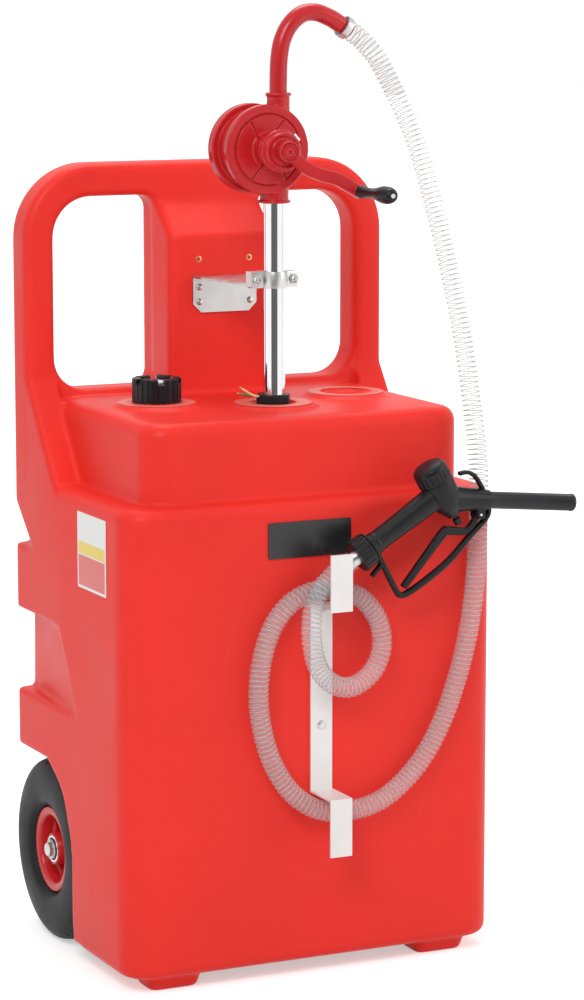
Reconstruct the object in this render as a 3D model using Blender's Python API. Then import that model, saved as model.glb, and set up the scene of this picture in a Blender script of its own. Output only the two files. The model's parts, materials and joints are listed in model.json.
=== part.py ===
"""Fuel caddy: a wheeled tank with a hand pump, a hose and a nozzle.

Metres, +Z up. While the pieces are modelled, X = 0 is the tank's middle, Y = 0 the wheel
axle and Z = 0 the ground, with the front facing -Y. The last call moves everything so
that the origin lies on the ground, under the middle of the caddy without its hose.
"""

import math

import bmesh
import bpy
from mathutils import Matrix, Vector

# Gaps shared by all pieces
GAP = 0.0003
OVERRUN = 0.020

# Tank body
TANK_HALF = 0.2786
TANK_FRONT = -0.3203
TANK_REAR = 0.0950
TANK_BOTTOM = 0.0205
TANK_CORNER = 0.043
TANK_REAR_CORNER = 0.014
LEAST_CORNER = 0.002
TANK_WALL = 0.005
BOTTOM_ROUND = 0.014
SHOULDER_Z = 0.661
SHOULDER_ROUND = 0.018
CORNER_STEPS = 3

# Dome and deck
DOME_HALF = 0.2375
DOME_FRONT = -0.2950
DOME_REAR = 0.050
DOME_ROOT_Z = 0.600
DOME_CORNER = 0.040
DOME_ROUND = 0.020
DECK_Z = 0.770

# Handle frame, moulded with the tank
FRAME_FRONT = 0.035
FRAME_TOP = 1.097
FRAME_COLUMN = 0.045
FRAME_CORNER = 0.105
FRAME_ROUND = 0.012
WINDOW_LOW = 0.780
WINDOW_HIGH = 1.050
WINDOW_CORNER = 0.057
WINDOW_LOW_CORNER = 0.020
GUSSET_TOP = 0.796
GUSSET_FRONT = -0.066
GUSSET_LOW = 0.657
GUSSET_SET = 0.001

# Pump block between the windows
BLOCK_HALF = 0.080
BLOCK_FRONT = -0.0174
BLOCK_BEND_Z = 0.995
BLOCK_TOP_Z = 1.048
BLOCK_CORNER = 0.016
BLOCK_PROUD = 0.001
BLOCK_TOP_FRONT = 0.040

# Bosses on the deck
BOSS_RADIUS = 0.0575
BOSS_HEIGHT = 0.006
BOSS_SINK = 0.002
BOSS_X = 0.145
BOSS_Y = -0.112
BLIND_RADIUS = 0.034
BLIND_DEPTH = 0.0065
FILLER_BORE = 0.024
FILLER_NECK = 0.029
FILLER_NECK_TOP = 0.797

# Side pockets in the rear half
POCKET_DEPTH = 0.028
POCKET_STEP = 0.003
LOW_POCKET_TOP = 0.4665
LOW_POCKET_BOTTOM = 0.350
LOW_POCKET_TOP_Y = -0.070
LOW_POCKET_BOTTOM_Y = -0.137
HIGH_POCKET_TOP = 0.652
HIGH_POCKET_BOTTOM = 0.560
HIGH_POCKET_Y = 0.020

# Wheels
WHEEL_RADIUS = 0.130
WHEEL_WIDTH = 0.070
WHEEL_OUTER_X = 0.2735
TYRE_BORE = 0.050
RIM_LIP = 0.0605
RIM_THICK = 0.0025
RIM_FLANGE_SHARE = 0.68
HUB_RADIUS = 0.026
HUB_BORE = 0.0200
BEARING_WIDTH = 0.011
AXLE_RADIUS = 0.010
WHEEL_ROOM = 0.006
WHEEL_INNER_ROOM = 0.008
ARCH_LIP = 0.0042
ARCH_SHARES = ((-0.154, 2.054), (-0.558, 1.80), (-0.723, 1.508), (-0.831, 1.20), (-0.842, 0.654), (-0.877, 0.0))

# Feet
FOOT_X = 0.203
FOOT_Y = -0.272
FOOT_HALF_X = 0.036
FOOT_HALF_Y = 0.026
FOOT_FLARE = 0.009
FOOT_CORNER = 0.012
FOOT_SINK = 0.008

# Suction tube and the pump's place
TUBE_Y = -0.184
TUBE_RADIUS = 0.015
TUBE_WALL = 0.0015
TUBE_LOW = 0.060
PUMP_Z = 1.1234
PUMP_BOSS_Y = -0.180


def clear_scene():
    """Start from an empty scene."""
    for item in list(bpy.data.objects):
        bpy.data.objects.remove(item, do_unlink=True)


def material(name, colour, roughness, metallic=0.0):
    """A plain Principled material."""
    made = bpy.data.materials.get(name)
    if made:
        return made
    made = bpy.data.materials.new(name)
    made.use_nodes = True
    shader = made.node_tree.nodes["Principled BSDF"]
    shader.inputs["Base Color"].default_value = (*colour, 1)
    shader.inputs["Roughness"].default_value = roughness
    shader.inputs["Metallic"].default_value = metallic
    made.diffuse_color = (*colour, 1)
    return made


def tank_plastic():
    return material("tank_plastic", (0.80, 0.045, 0.037), 0.42)


def pump_paint():
    return material("pump_paint", (0.50, 0.022, 0.028), 0.35, 0.1)


def black_plastic():
    return material("black_plastic", (0.020, 0.021, 0.022), 0.45)


def rubber():
    return material("rubber", (0.022, 0.022, 0.024), 0.8)


def chrome():
    return material("chrome", (0.78, 0.78, 0.80), 0.12, 1.0)


def zinc():
    return material("zinc_steel", (0.62, 0.62, 0.62), 0.35, 1.0)


def brass():
    return material("brass", (0.72, 0.50, 0.22), 0.3, 1.0)


def cream_paint():
    return material("cleat_paint", (0.72, 0.73, 0.70), 0.4)


def clear_hose():
    return material("hose_plastic", (0.80, 0.76, 0.76), 0.25)


def new_object(name, bm, finish, place=Matrix.Identity(4), sharp=35):
    """Turn a bmesh into a named object at a place, smooth but for its sharp edges."""
    bmesh.ops.remove_doubles(bm, verts=bm.verts, dist=0.000001)
    bmesh.ops.recalc_face_normals(bm, faces=bm.faces)
    mesh = bpy.data.meshes.new(name)
    bm.to_mesh(mesh)
    bm.free()
    mesh.materials.append(finish)
    mesh.shade_smooth()
    mesh.set_sharp_from_angle(angle=math.radians(sharp))
    made = bpy.data.objects.new(name, mesh)
    made.matrix_world = place
    bpy.context.scene.collection.objects.link(made)
    return made


def helper(made):
    """Keep a cutter or an added shape out of the model's own pieces."""
    made.hide_render = True
    made.display_type = "WIRE"
    return made


def combine(target, other, operation):
    """Add a Boolean of this object with a helper."""
    helper(other)
    step = target.modifiers.new(other.name, "BOOLEAN")
    step.operation = operation
    step.object = other
    step.solver = "EXACT"
    return target


def join(target, *others):
    for other in others:
        combine(target, other, "UNION")
    return target


def cut(target, *others):
    for other in others:
        combine(target, other, "DIFFERENCE")
    return target


def skin(rings, closed_ends=True):
    """A bmesh over rings of points; a ring of one point is a tip."""
    bm = bmesh.new()
    loops = [[bm.verts.new(point) for point in ring] for ring in rings]
    for low, high in zip(loops, loops[1:]):
        count = max(len(low), len(high))
        for i in range(count):
            k = (i + 1) % count
            if len(low) == 1:
                bm.faces.new((low[0], high[k], high[i]))
            elif len(high) == 1:
                bm.faces.new((low[i], low[k], high[0]))
            else:
                bm.faces.new((low[i], low[k], high[k], high[i]))
    if closed_ends:
        for ring in (loops[0], loops[-1]):
            if len(ring) > 2:
                bm.faces.new(ring)
    return bm


def turned(profile, sides=24):
    """A solid turned round Z from (radius, z) pairs; a profile off the axis is closed on itself."""
    rings = []
    flat_start = profile[0][0] <= 0 and profile[0][1] == profile[1][1]
    flat_end = profile[-1][0] <= 0 and profile[-1][1] == profile[-2][1]
    on_axis = profile[0][0] <= 0
    for radius, z in profile[flat_start : len(profile) - flat_end]:
        if radius <= 0:
            rings.append([(0, 0, z)])
            continue
        turn = 2 * math.pi / sides
        rings.append([(radius * math.cos(i * turn), radius * math.sin(i * turn), z) for i in range(sides)])
    if on_axis:
        return skin(rings)
    return skin([*rings, rings[0]], closed_ends=False)


def sleeve(inner, outer, low, high, sides=24):
    """A plain ring or tube round Z."""
    return turned([(outer, low), (outer, high), (inner, high), (inner, low)], sides)


def rod(radius, low, high, sides=16):
    """A plain round bar along Z."""
    return turned([(0, low), (radius, low), (radius, high), (0, high)], sides)


def arc(centre, radius, start, end, steps):
    """Points of an arc; angles in degrees."""
    angles = [math.radians(start + (end - start) * i / steps) for i in range(steps + 1)]
    return [(centre[0] + radius * math.cos(a), centre[1] + radius * math.sin(a)) for a in angles]


def rounded(corners, radii, steps=CORNER_STEPS):
    """An outline whose corners are rounded; a radius of zero keeps the corner."""
    made = []
    count = len(corners)
    for i, corner in enumerate(corners):
        here = Vector(corner)
        radius = radii[i] if isinstance(radii, (list, tuple)) else radii
        if radius <= 0:
            made.append(tuple(here))
            continue
        before = (Vector(corners[i - 1]) - here).normalized()
        after = (Vector(corners[(i + 1) % count]) - here).normalized()
        half = before.angle(after) / 2
        reach = radius / math.tan(half)
        middle = here + (before + after).normalized() * radius / math.sin(half)
        first = here + before * reach - middle
        last = here + after * reach - middle
        sweep = math.atan2(first.x * last.y - first.y * last.x, first.dot(last))
        for k in range(steps + 1):
            angle = sweep * k / steps
            spin = Matrix.Rotation(angle, 2)
            made.append(tuple(middle + spin @ first))
    return made


def rounded_box(low, high, radius, steps=CORNER_STEPS):
    """A rounded rectangle between two corners, anticlockwise."""
    corners = [(low[0], low[1]), (high[0], low[1]), (high[0], high[1]), (low[0], high[1])]
    return rounded(corners, radius, steps)


def moved_in(outline, inset):
    """The outline with every side moved inwards by the inset."""
    points = [Vector(p) for p in outline]
    count = len(points)
    turns = sum(points[i - 1].x * points[i].y - points[i].x * points[i - 1].y for i in range(count))
    side = inset * math.copysign(1, turns)
    made = []
    for i, here in enumerate(points):
        before = (here - points[i - 1]).normalized()
        after = (points[(i + 1) % count] - here).normalized()
        first = Vector((-before.y, before.x))
        second = Vector((-after.y, after.x))
        middle = (first + second).normalized()
        made.append(tuple(here + middle * side / max(middle.dot(first), 0.3)))
    return made


def layered(outline, layers):
    """A solid standing on an outline; each layer is (height, inset)."""
    return skin([[(x, y, z) for x, y in moved_in(outline, inset)] for z, inset in layers])


def prism(outline, low, high):
    return skin([[(x, y, z) for x, y in outline] for z in (low, high)])


def swept(path, half_width, half_depth, across, sides=0):
    """A bar along a path. Flat bars have four corners; with sides it is round or oval."""
    points = [Vector(p) for p in path]
    rings = []
    for i, here in enumerate(points):
        ahead = (points[min(i + 1, len(points) - 1)] - points[max(i - 1, 0)]).normalized()
        depth = (Vector(across) - ahead * ahead.dot(Vector(across))).normalized()
        width = depth.cross(ahead)
        half = half_width[i] if isinstance(half_width, (list, tuple)) else half_width
        thick = half_depth[i] if isinstance(half_depth, (list, tuple)) else half_depth
        if sides:
            turns = [2 * math.pi * k / sides for k in range(sides)]
            ring = [here + width * half * math.cos(t) + depth * thick * math.sin(t) for t in turns]
        else:
            ring = [here + width * half * u + depth * thick * v for u, v in ((1, 1), (-1, 1), (-1, -1), (1, -1))]
        rings.append(ring)
    return skin(rings)


def smooth_path(points, steps):
    """Points on a smooth curve through the given points."""
    known = [Vector(p) for p in points]
    ends = [2 * known[0] - known[1], *known, 2 * known[-1] - known[-2]]
    made = []
    for a, b, c, d in zip(ends, ends[1:], ends[2:], ends[3:]):
        for k in range(steps):
            t = k / steps
            made.append(
                0.5 * (2 * b + (c - a) * t + (2 * a - 5 * b + 4 * c - d) * t * t + (3 * b - a - 3 * c + d) * t**3)
            )
    return [*made, known[-1]]


def at(x, y, z):
    return Matrix.Translation((x, y, z))


def facing(x, y, z, ahead, up=(0, 0, 1)):
    """A place whose local Z points ahead."""
    axis = Vector(ahead).normalized()
    side = Vector(up).cross(axis)
    if side.length < 0.001:
        side = Vector((1, 0, 0))
    side.normalize()
    over = axis.cross(side)
    return at(x, y, z) @ Matrix((side, over, axis)).transposed().to_4x4()


TO_FRONT = Matrix(((1, 0, 0, 0), (0, 0, -1, 0), (0, 1, 0, 0), (0, 0, 0, 1)))
ALONG_X = Matrix(((0, 0, 1, 0), (1, 0, 0, 0), (0, 1, 0, 0), (0, 0, 0, 1)))


# Tank shell
def rounds(layers, inset):
    """The layers of a form; the rooms inside it take plain chamfers, without the points next to the ends."""
    if not inset:
        return layers
    return [layers[0], *layers[2:-2], layers[-1]]


def body_ring(z, inset):
    """The body's outline at one height, smaller by the inset, with its own corners front and rear."""
    front = max(TANK_CORNER - inset, LEAST_CORNER)
    rear = max(TANK_REAR_CORNER - inset, LEAST_CORNER)
    half = TANK_HALF - inset
    outline = rounded_box((-half, TANK_FRONT + inset), (half, TANK_REAR - inset), [front, front, rear, rear])
    return [(x, y, z) for x, y in outline]


def body_solid(name, inset):
    """The tank's body without its pockets, smaller by the inset on every side."""
    layers = [
        (TANK_BOTTOM + inset, BOTTOM_ROUND + inset),
        (TANK_BOTTOM + BOTTOM_ROUND / 3 + inset, BOTTOM_ROUND / 3 + inset),
        (TANK_BOTTOM + BOTTOM_ROUND + inset, inset),
        (SHOULDER_Z - SHOULDER_ROUND - inset, inset),
        (SHOULDER_Z - SHOULDER_ROUND / 3 - inset, SHOULDER_ROUND / 3 + inset),
        (SHOULDER_Z - inset, SHOULDER_ROUND + inset),
    ]
    rings = [body_ring(z, share) for z, share in rounds(layers, inset)]
    return new_object(name, skin(rings), tank_plastic())


def dome_solid(name, inset):
    outline = rounded_box((-DOME_HALF, DOME_FRONT), (DOME_HALF, DOME_REAR), DOME_CORNER)
    layers = [
        (DOME_ROOT_Z, inset),
        (DECK_Z - DOME_ROUND - inset, inset),
        (DECK_Z - DOME_ROUND / 3 - inset, DOME_ROUND / 3 + inset),
        (DECK_Z - inset, DOME_ROUND + inset),
    ]
    if inset:
        layers.pop(-2)
    return new_object(name, layered(outline, layers), tank_plastic())


def window_outline(side):
    inner = TANK_HALF - FRAME_COLUMN
    low = (side * BLOCK_HALF, WINDOW_LOW)
    high = (side * inner, WINDOW_HIGH)
    corners = [low, (high[0], low[1]), high, (low[0], high[1])]
    radii = [WINDOW_LOW_CORNER, WINDOW_LOW_CORNER, WINDOW_CORNER, WINDOW_LOW_CORNER]
    return rounded(corners, radii)


def slab(name, outline, layers):
    """A solid on an outline in X and Z, whose layers are (y, inset)."""
    bm = skin([[(x, y, z) for x, z in moved_in(outline, inset)] for y, inset in layers])
    return new_object(name, bm, tank_plastic())


def frame_solid(name, inset):
    """The handle frame with both windows, smaller by the inset."""
    low = SHOULDER_Z - SHOULDER_ROUND
    corners = [(-TANK_HALF, low), (TANK_HALF, low), (TANK_HALF, FRAME_TOP), (-TANK_HALF, FRAME_TOP)]
    outline = rounded(corners, [0, 0, FRAME_CORNER, FRAME_CORNER], 2 * CORNER_STEPS - 1)
    front = FRAME_FRONT + inset
    rear = TANK_REAR - inset
    layers = [
        (front, FRAME_ROUND + inset),
        (front + FRAME_ROUND / 3, FRAME_ROUND / 3 + inset),
        (front + FRAME_ROUND, inset),
        (rear - FRAME_ROUND, inset),
        (rear - FRAME_ROUND / 3, FRAME_ROUND / 3 + inset),
        (rear, FRAME_ROUND + inset),
    ]
    made = slab(name, outline, rounds(layers, inset))
    for side in (-1, 1):
        window = window_outline(side)
        holes = [
            (front - OVERRUN, -FRAME_ROUND - inset),
            (front, -FRAME_ROUND - inset),
            (front + FRAME_ROUND, -inset),
            (rear - FRAME_ROUND, -inset),
            (rear, -FRAME_ROUND - inset),
            (rear + OVERRUN, -FRAME_ROUND - inset),
        ]
        cut(made, slab(f"{name}_window_{'left' if side < 0 else 'right'}", window, holes))
    return made


def block_solid(name, inset):
    """The pump block, whose top slopes back to the top bar."""
    half = BLOCK_HALF + BLOCK_PROUD - inset
    rear = (FRAME_FRONT + TANK_REAR) / 2
    levels = (
        (DOME_ROOT_Z + inset, BLOCK_FRONT + inset),
        (BLOCK_BEND_Z, BLOCK_FRONT + inset),
        (BLOCK_TOP_Z, BLOCK_TOP_FRONT + inset),
    )
    rings = []
    for z, front in levels:
        outline = rounded_box((-half, front), (half, rear), BLOCK_CORNER)
        rings.append([(x, y, z) for x, y in outline])
    return new_object(name, skin(rings), tank_plastic())


def gusset_solid(name, side):
    """The sloping shoulder that carries one column of the frame."""
    rear = (FRAME_FRONT + TANK_REAR) / 2
    foot = SHOULDER_Z - SHOULDER_ROUND - TANK_WALL
    top = GUSSET_TOP
    outline = [(FRAME_FRONT, top), (rear, top), (rear, foot), (GUSSET_FRONT, foot), (GUSSET_FRONT, GUSSET_LOW)]
    inner = DOME_HALF - TANK_WALL / 2
    outer = TANK_HALF - GUSSET_SET
    edge = FRAME_ROUND / 2
    rings = []
    for x, inset in ((inner, 0), (outer - edge, 0), (outer, edge)):
        rings.append([(side * x, y, z) for y, z in moved_in(outline, inset)])
    return new_object(name, skin(rings), tank_plastic())


def arch_solid(name, side, room):
    """The wheel's pocket: the opening in the side, and the deeper room behind its lip."""
    inner = WHEEL_OUTER_X - WHEEL_WIDTH - WHEEL_INNER_ROOM - room
    lip = TANK_HALF - ARCH_LIP + room
    far = TANK_HALF + OVERRUN
    rear = TANK_REAR + OVERRUN
    low = TANK_BOTTOM - OVERRUN
    line = [(y * WHEEL_RADIUS, z * WHEEL_RADIUS) for y, z in ARCH_SHARES]
    opening = [(rear, low), (rear, line[0][1]), *line[:-1], (line[-1][0], low)]
    reach = WHEEL_RADIUS + WHEEL_ROOM
    behind = [(rear, low), (rear, line[0][1]), (0, line[0][1]), *arc((0, WHEEL_RADIUS), reach, 105, 180, 6), (-reach, low)]
    made = []
    for end, outline, word in ((far, opening, "opening"), (lip, behind, "room")):
        widened = moved_in(outline, -room)
        bm = skin([[(side * x, y, z) for y, z in widened] for x in (inner, end)])
        made.append(helper(new_object(f"{name}_{word}", bm, tank_plastic())))
    return made


def wedge_solid(name, side, edges, step, room):
    """A side pocket that deepens from its front line to the rear; each edge is (z, front line, depth)."""
    rear = TANK_REAR
    outer = TANK_HALF + OVERRUN
    rings = []
    for z, front, depth in edges:
        slope = (depth - step) / (rear - front)
        face = TANK_HALF - step - room + (0 if depth else GAP)
        start = front - room if step else front - OVERRUN
        start_x = face if step else face + slope * (front - start)
        stop = rear + OVERRUN
        stop_x = face - slope * (stop - front)
        rings.append([(side * x, y, z) for x, y in ((outer, start), (start_x, start), (stop_x, stop), (outer, stop))])
    return helper(new_object(name, skin(rings), tank_plastic()))


def side_pockets(name, side, room):
    low = (
        (LOW_POCKET_BOTTOM - room, LOW_POCKET_BOTTOM_Y, POCKET_DEPTH),
        (LOW_POCKET_TOP + room, LOW_POCKET_TOP_Y, POCKET_DEPTH),
    )
    high = ((HIGH_POCKET_BOTTOM - room, HIGH_POCKET_Y, POCKET_DEPTH), (HIGH_POCKET_TOP + room, HIGH_POCKET_Y, 0))
    return [
        wedge_solid(f"{name}_low", side, low, POCKET_STEP, room),
        wedge_solid(f"{name}_high", side, high, 0, room),
    ]


def foot_solid(name, side):
    outline = rounded_box((-FOOT_HALF_X, -FOOT_HALF_Y), (FOOT_HALF_X, FOOT_HALF_Y), FOOT_CORNER, 3)
    layers = [(0, 0), (TANK_BOTTOM + FOOT_SINK, -FOOT_FLARE)]
    return new_object(name, layered(outline, layers), tank_plastic(), at(side * FOOT_X, FOOT_Y, 0))


def boss_solids():
    high = DECK_Z + BOSS_HEIGHT
    places = {"filler_boss": (-BOSS_X, BOSS_Y), "blind_boss": (BOSS_X, BOSS_Y), "pump_boss": (0, PUMP_BOSS_Y)}
    made = []
    for name, (x, y) in places.items():
        made.append(new_object(name, rod(BOSS_RADIUS, DECK_Z - BOSS_SINK, high, 20), tank_plastic(), at(x, y, 0)))
    neck = rod(FILLER_NECK, DECK_Z - BOSS_SINK, FILLER_NECK_TOP, 20)
    made.append(new_object("filler_neck", neck, tank_plastic(), at(-BOSS_X, BOSS_Y, 0)))
    return made


def deck_holes():
    top = FILLER_NECK_TOP + OVERRUN
    low = DECK_Z - TANK_WALL - OVERRUN
    boss = DECK_Z + BOSS_HEIGHT
    blind = rod(BLIND_RADIUS, boss - BLIND_DEPTH, boss + OVERRUN, 20)
    return [
        new_object("filler_hole", rod(FILLER_BORE, low, top, 20), tank_plastic(), at(-BOSS_X, BOSS_Y, 0)),
        new_object("blind_recess", blind, tank_plastic(), at(BOSS_X, BOSS_Y, 0)),
        new_object("pump_hole", rod(BUNG_RADIUS + GAP, low, top, 20), tank_plastic(), at(0, PUMP_BOSS_Y, 0)),
    ]


def front_hole(name, x, z, radius, depth):
    """A blind or through hole into the tank's front."""
    place = at(x, TANK_FRONT - OVERRUN, z) @ TO_FRONT
    return new_object(name, rod(radius, -depth - OVERRUN, 0, 8), tank_plastic(), place)


def block_hole(name, x, z, radius, depth):
    place = at(x, BLOCK_FRONT - OVERRUN, z) @ TO_FRONT
    return new_object(name, rod(radius, -depth - OVERRUN, 0, 8), tank_plastic(), place)


def axle_tunnel(name, radius):
    reach = TANK_HALF
    return new_object(name, rod(radius, -reach, reach, 16), tank_plastic(), at(0, 0, WHEEL_RADIUS) @ ALONG_X)


def tank_cavity():
    """The fuel space: every outer form smaller by the wall, less its pockets' walls."""
    room = body_solid("tank_room", TANK_WALL)
    for side, word in ((-1, "left"), (1, "right")):
        cut(room, *arch_solid(f"arch_wall_{word}", side, TANK_WALL))
        cut(room, *side_pockets(f"pocket_wall_{word}", side, TANK_WALL))
    cut(room, axle_tunnel("axle_tunnel_wall", AXLE_RADIUS + GAP + TANK_WALL))
    return [
        room,
        dome_solid("dome_room", TANK_WALL),
        frame_solid("frame_room", TANK_WALL),
        block_solid("block_room", TANK_WALL),
    ]


def tank_shell():
    tank = body_solid("tank_shell", 0)
    join(tank, dome_solid("dome", 0), frame_solid("frame", 0), block_solid("block", 0))
    for side, word in ((-1, "left"), (1, "right")):
        join(tank, gusset_solid(f"gusset_{word}", side), foot_solid(f"foot_{word}", side))
    join(tank, *boss_solids())
    for side, word in ((-1, "left"), (1, "right")):
        cut(tank, *arch_solid(f"arch_{word}", side, 0), *side_pockets(f"pocket_{word}", side, 0))
    cut(tank, *tank_cavity(), *deck_holes())
    cut(tank, axle_tunnel("axle_tunnel", AXLE_RADIUS + GAP))
    for name, x, z in insert_places():
        cut(tank, block_hole(f"{name}_hole", x, z, INSERT_RADIUS + GAP, TANK_WALL + OVERRUN / 2))
    for name, x, z in screw_places():
        cut(tank, block_hole(f"{name}_hole", x, z, SCREW_RADIUS + GAP, TANK_WALL + OVERRUN / 2))
    cut(tank, front_hole("rivet_hole", CLEAT_X, RIVET_Z, RIVET_RADIUS + GAP, TANK_WALL + OVERRUN / 2))
    # The body, frame and rooms share planes, where the exact solver leaves gaps.
    for step in tank.modifiers:
        step.solver = "MANIFOLD"


# Filler cap
CAP_RADIUS = 0.0340
CAP_TOP = 0.010
CAP_LOBES = 12
CAP_NOTCH = 0.0018
SEAL_THICK = 0.003
VENT_RADIUS = 0.014
VENT_THICK = 0.003
CAP_LOW = DECK_Z + BOSS_HEIGHT + GAP


def lobed(radius, notch, lobes):
    """A round outline with a shallow notch between its lobes."""
    made = []
    for i in range(4 * lobes):
        angle = 2 * math.pi * i / (4 * lobes)
        reach = radius - (notch if i % 4 == 0 else 0)
        made.append((reach * math.cos(angle), reach * math.sin(angle)))
    return made


def filler_cap():
    neck_top = FILLER_NECK_TOP
    ceiling = neck_top + GAP + SEAL_THICK + GAP
    top = ceiling + CAP_TOP
    outline = lobed(CAP_RADIUS, CAP_NOTCH, CAP_LOBES)
    edge = CAP_NOTCH
    layers = [(CAP_LOW, 0), (top - edge, 0), (top, edge)]
    place = at(-BOSS_X, BOSS_Y, 0)
    cap = new_object("filler_cap", layered(outline, layers), black_plastic(), place)
    hollow = rod(FILLER_NECK + 3 * GAP, CAP_LOW - OVERRUN, ceiling, 20)
    vent = rod(VENT_RADIUS + GAP, top - VENT_THICK / 2, top + OVERRUN, 16)
    cut(cap, new_object("cap_hollow", hollow, black_plastic(), place))
    cut(cap, new_object("cap_vent_seat", vent, black_plastic(), place))
    seal = sleeve(FILLER_BORE, FILLER_NECK - GAP, neck_top + GAP, neck_top + GAP + SEAL_THICK, 20)
    new_object("cap_seal", seal, rubber(), place)
    low = top - VENT_THICK / 2 + GAP
    disc = turned([(0, low), (VENT_RADIUS, low), (VENT_RADIUS, low + VENT_THICK * 2 / 3), (0, low + VENT_THICK)], 16)
    new_object("cap_vent", disc, cream_paint(), place)


# Pump collar in the deck, with the ends of two earth wires
BUNG_RADIUS = 0.0262
BUNG_DEPTH = 0.018
BUNG_FLANGE = 0.0290
BUNG_FLANGE_THICK = 0.002
BUNG_COLLAR = 0.024
BUNG_TOP = 0.788
WIRE_RADIUS = 0.0016
WIRE_DROP = 0.004
WIRE_REACH = 0.030
WIRE_SPREAD = 0.006


def pump_bung():
    seat = DECK_Z + BOSS_HEIGHT + GAP
    bore = TUBE_RADIUS + GAP
    flange = seat + BUNG_FLANGE_THICK
    low = seat - BUNG_DEPTH
    edge = BUNG_FLANGE_THICK / 4
    shift = PUMP_BOSS_Y - TUBE_Y
    profile = [
        (0, low),
        (BUNG_RADIUS, low),
        (BUNG_RADIUS, seat),
        (BUNG_FLANGE, seat),
        (BUNG_FLANGE, flange - edge),
        (BUNG_FLANGE - edge, flange),
        (BUNG_COLLAR, flange),
        (BUNG_COLLAR, BUNG_TOP - edge),
        (BUNG_COLLAR - edge, BUNG_TOP),
        (0, BUNG_TOP),
    ]
    bung = new_object("pump_bung", turned(profile, 20), black_plastic(), at(0, PUMP_BOSS_Y, 0))
    hole = rod(bore, low - OVERRUN, BUNG_TOP + OVERRUN, 16)
    cut(bung, new_object("bung_bore", hole, black_plastic(), at(0, PUMP_BOSS_Y - shift, 0)))


def earth_wires():
    start_z = DECK_Z + BOSS_HEIGHT + GAP + BUNG_FLANGE_THICK + WIRE_RADIUS + GAP
    finishes = {"cream": material("wire_cream", (0.80, 0.72, 0.50), 0.5), "green": material("wire_green", (0.05, 0.30, 0.10), 0.5)}
    for side, (word, finish) in zip((-1, 1), finishes.items()):
        y = PUMP_BOSS_Y - WIRE_SPREAD * (1 + side)
        start = -BUNG_COLLAR - GAP
        path = [
            (start, y, start_z),
            (start - WIRE_REACH / 3, y - side * WIRE_RADIUS, start_z + WIRE_RADIUS / 2),
            (start - WIRE_REACH * 2 / 3, y - side * WIRE_SPREAD / 2, start_z + WIRE_RADIUS),
            (start - WIRE_REACH, y - side * WIRE_SPREAD, start_z - side * WIRE_DROP / 2),
        ]
        new_object(f"earth_wire_{word}", swept(path, WIRE_RADIUS, WIRE_RADIUS, (0, 0, 1), 6), finish)


# Brass inserts and the pump bracket
INSERT_X = 0.039
INSERT_Z = 0.962
INSERT_RADIUS = 0.0045
INSERT_BORE = 0.0022
INSERT_LENGTH = 0.012
BRACKET_HALF = 0.049
BRACKET_LOW = 0.887
BRACKET_HIGH = 0.939
BRACKET_CHAMFER = 0.012
BRACKET_THICK = 0.003
SCREW_X = 0.039
SCREW_ZS = (0.902, 0.923)
SCREW_RADIUS = 0.0022
SCREW_HEAD = 0.0045
SCREW_HEAD_THICK = 0.003
SCREW_LENGTH = 0.016
CLAMP_LOW = 0.9345
CLAMP_HIGH = 0.9565
CLAMP_THICK = 0.0025
CLAMP_EAR = 0.034
CLAMP_BOLT_X = 0.0285
CLAMP_BOLT_RADIUS = 0.003
CLAMP_BOLT_HEAD = 0.0062
CLAMP_BOLT_HEAD_THICK = 0.004
ARM_HALF = 0.030


def insert_places():
    return [("insert_left", -INSERT_X, INSERT_Z), ("insert_right", INSERT_X, INSERT_Z)]


def screw_places():
    places = [(x, z) for x in (-SCREW_X, SCREW_X) for z in SCREW_ZS]
    return [(f"bracket_screw_{i}", x, z) for i, (x, z) in enumerate(places, 1)]


def inserts():
    for name, x, z in insert_places():
        bm = sleeve(INSERT_BORE, INSERT_RADIUS, -INSERT_LENGTH, GAP, 8)
        new_object(name, bm, brass(), at(x, BLOCK_FRONT, z) @ TO_FRONT)


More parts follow.
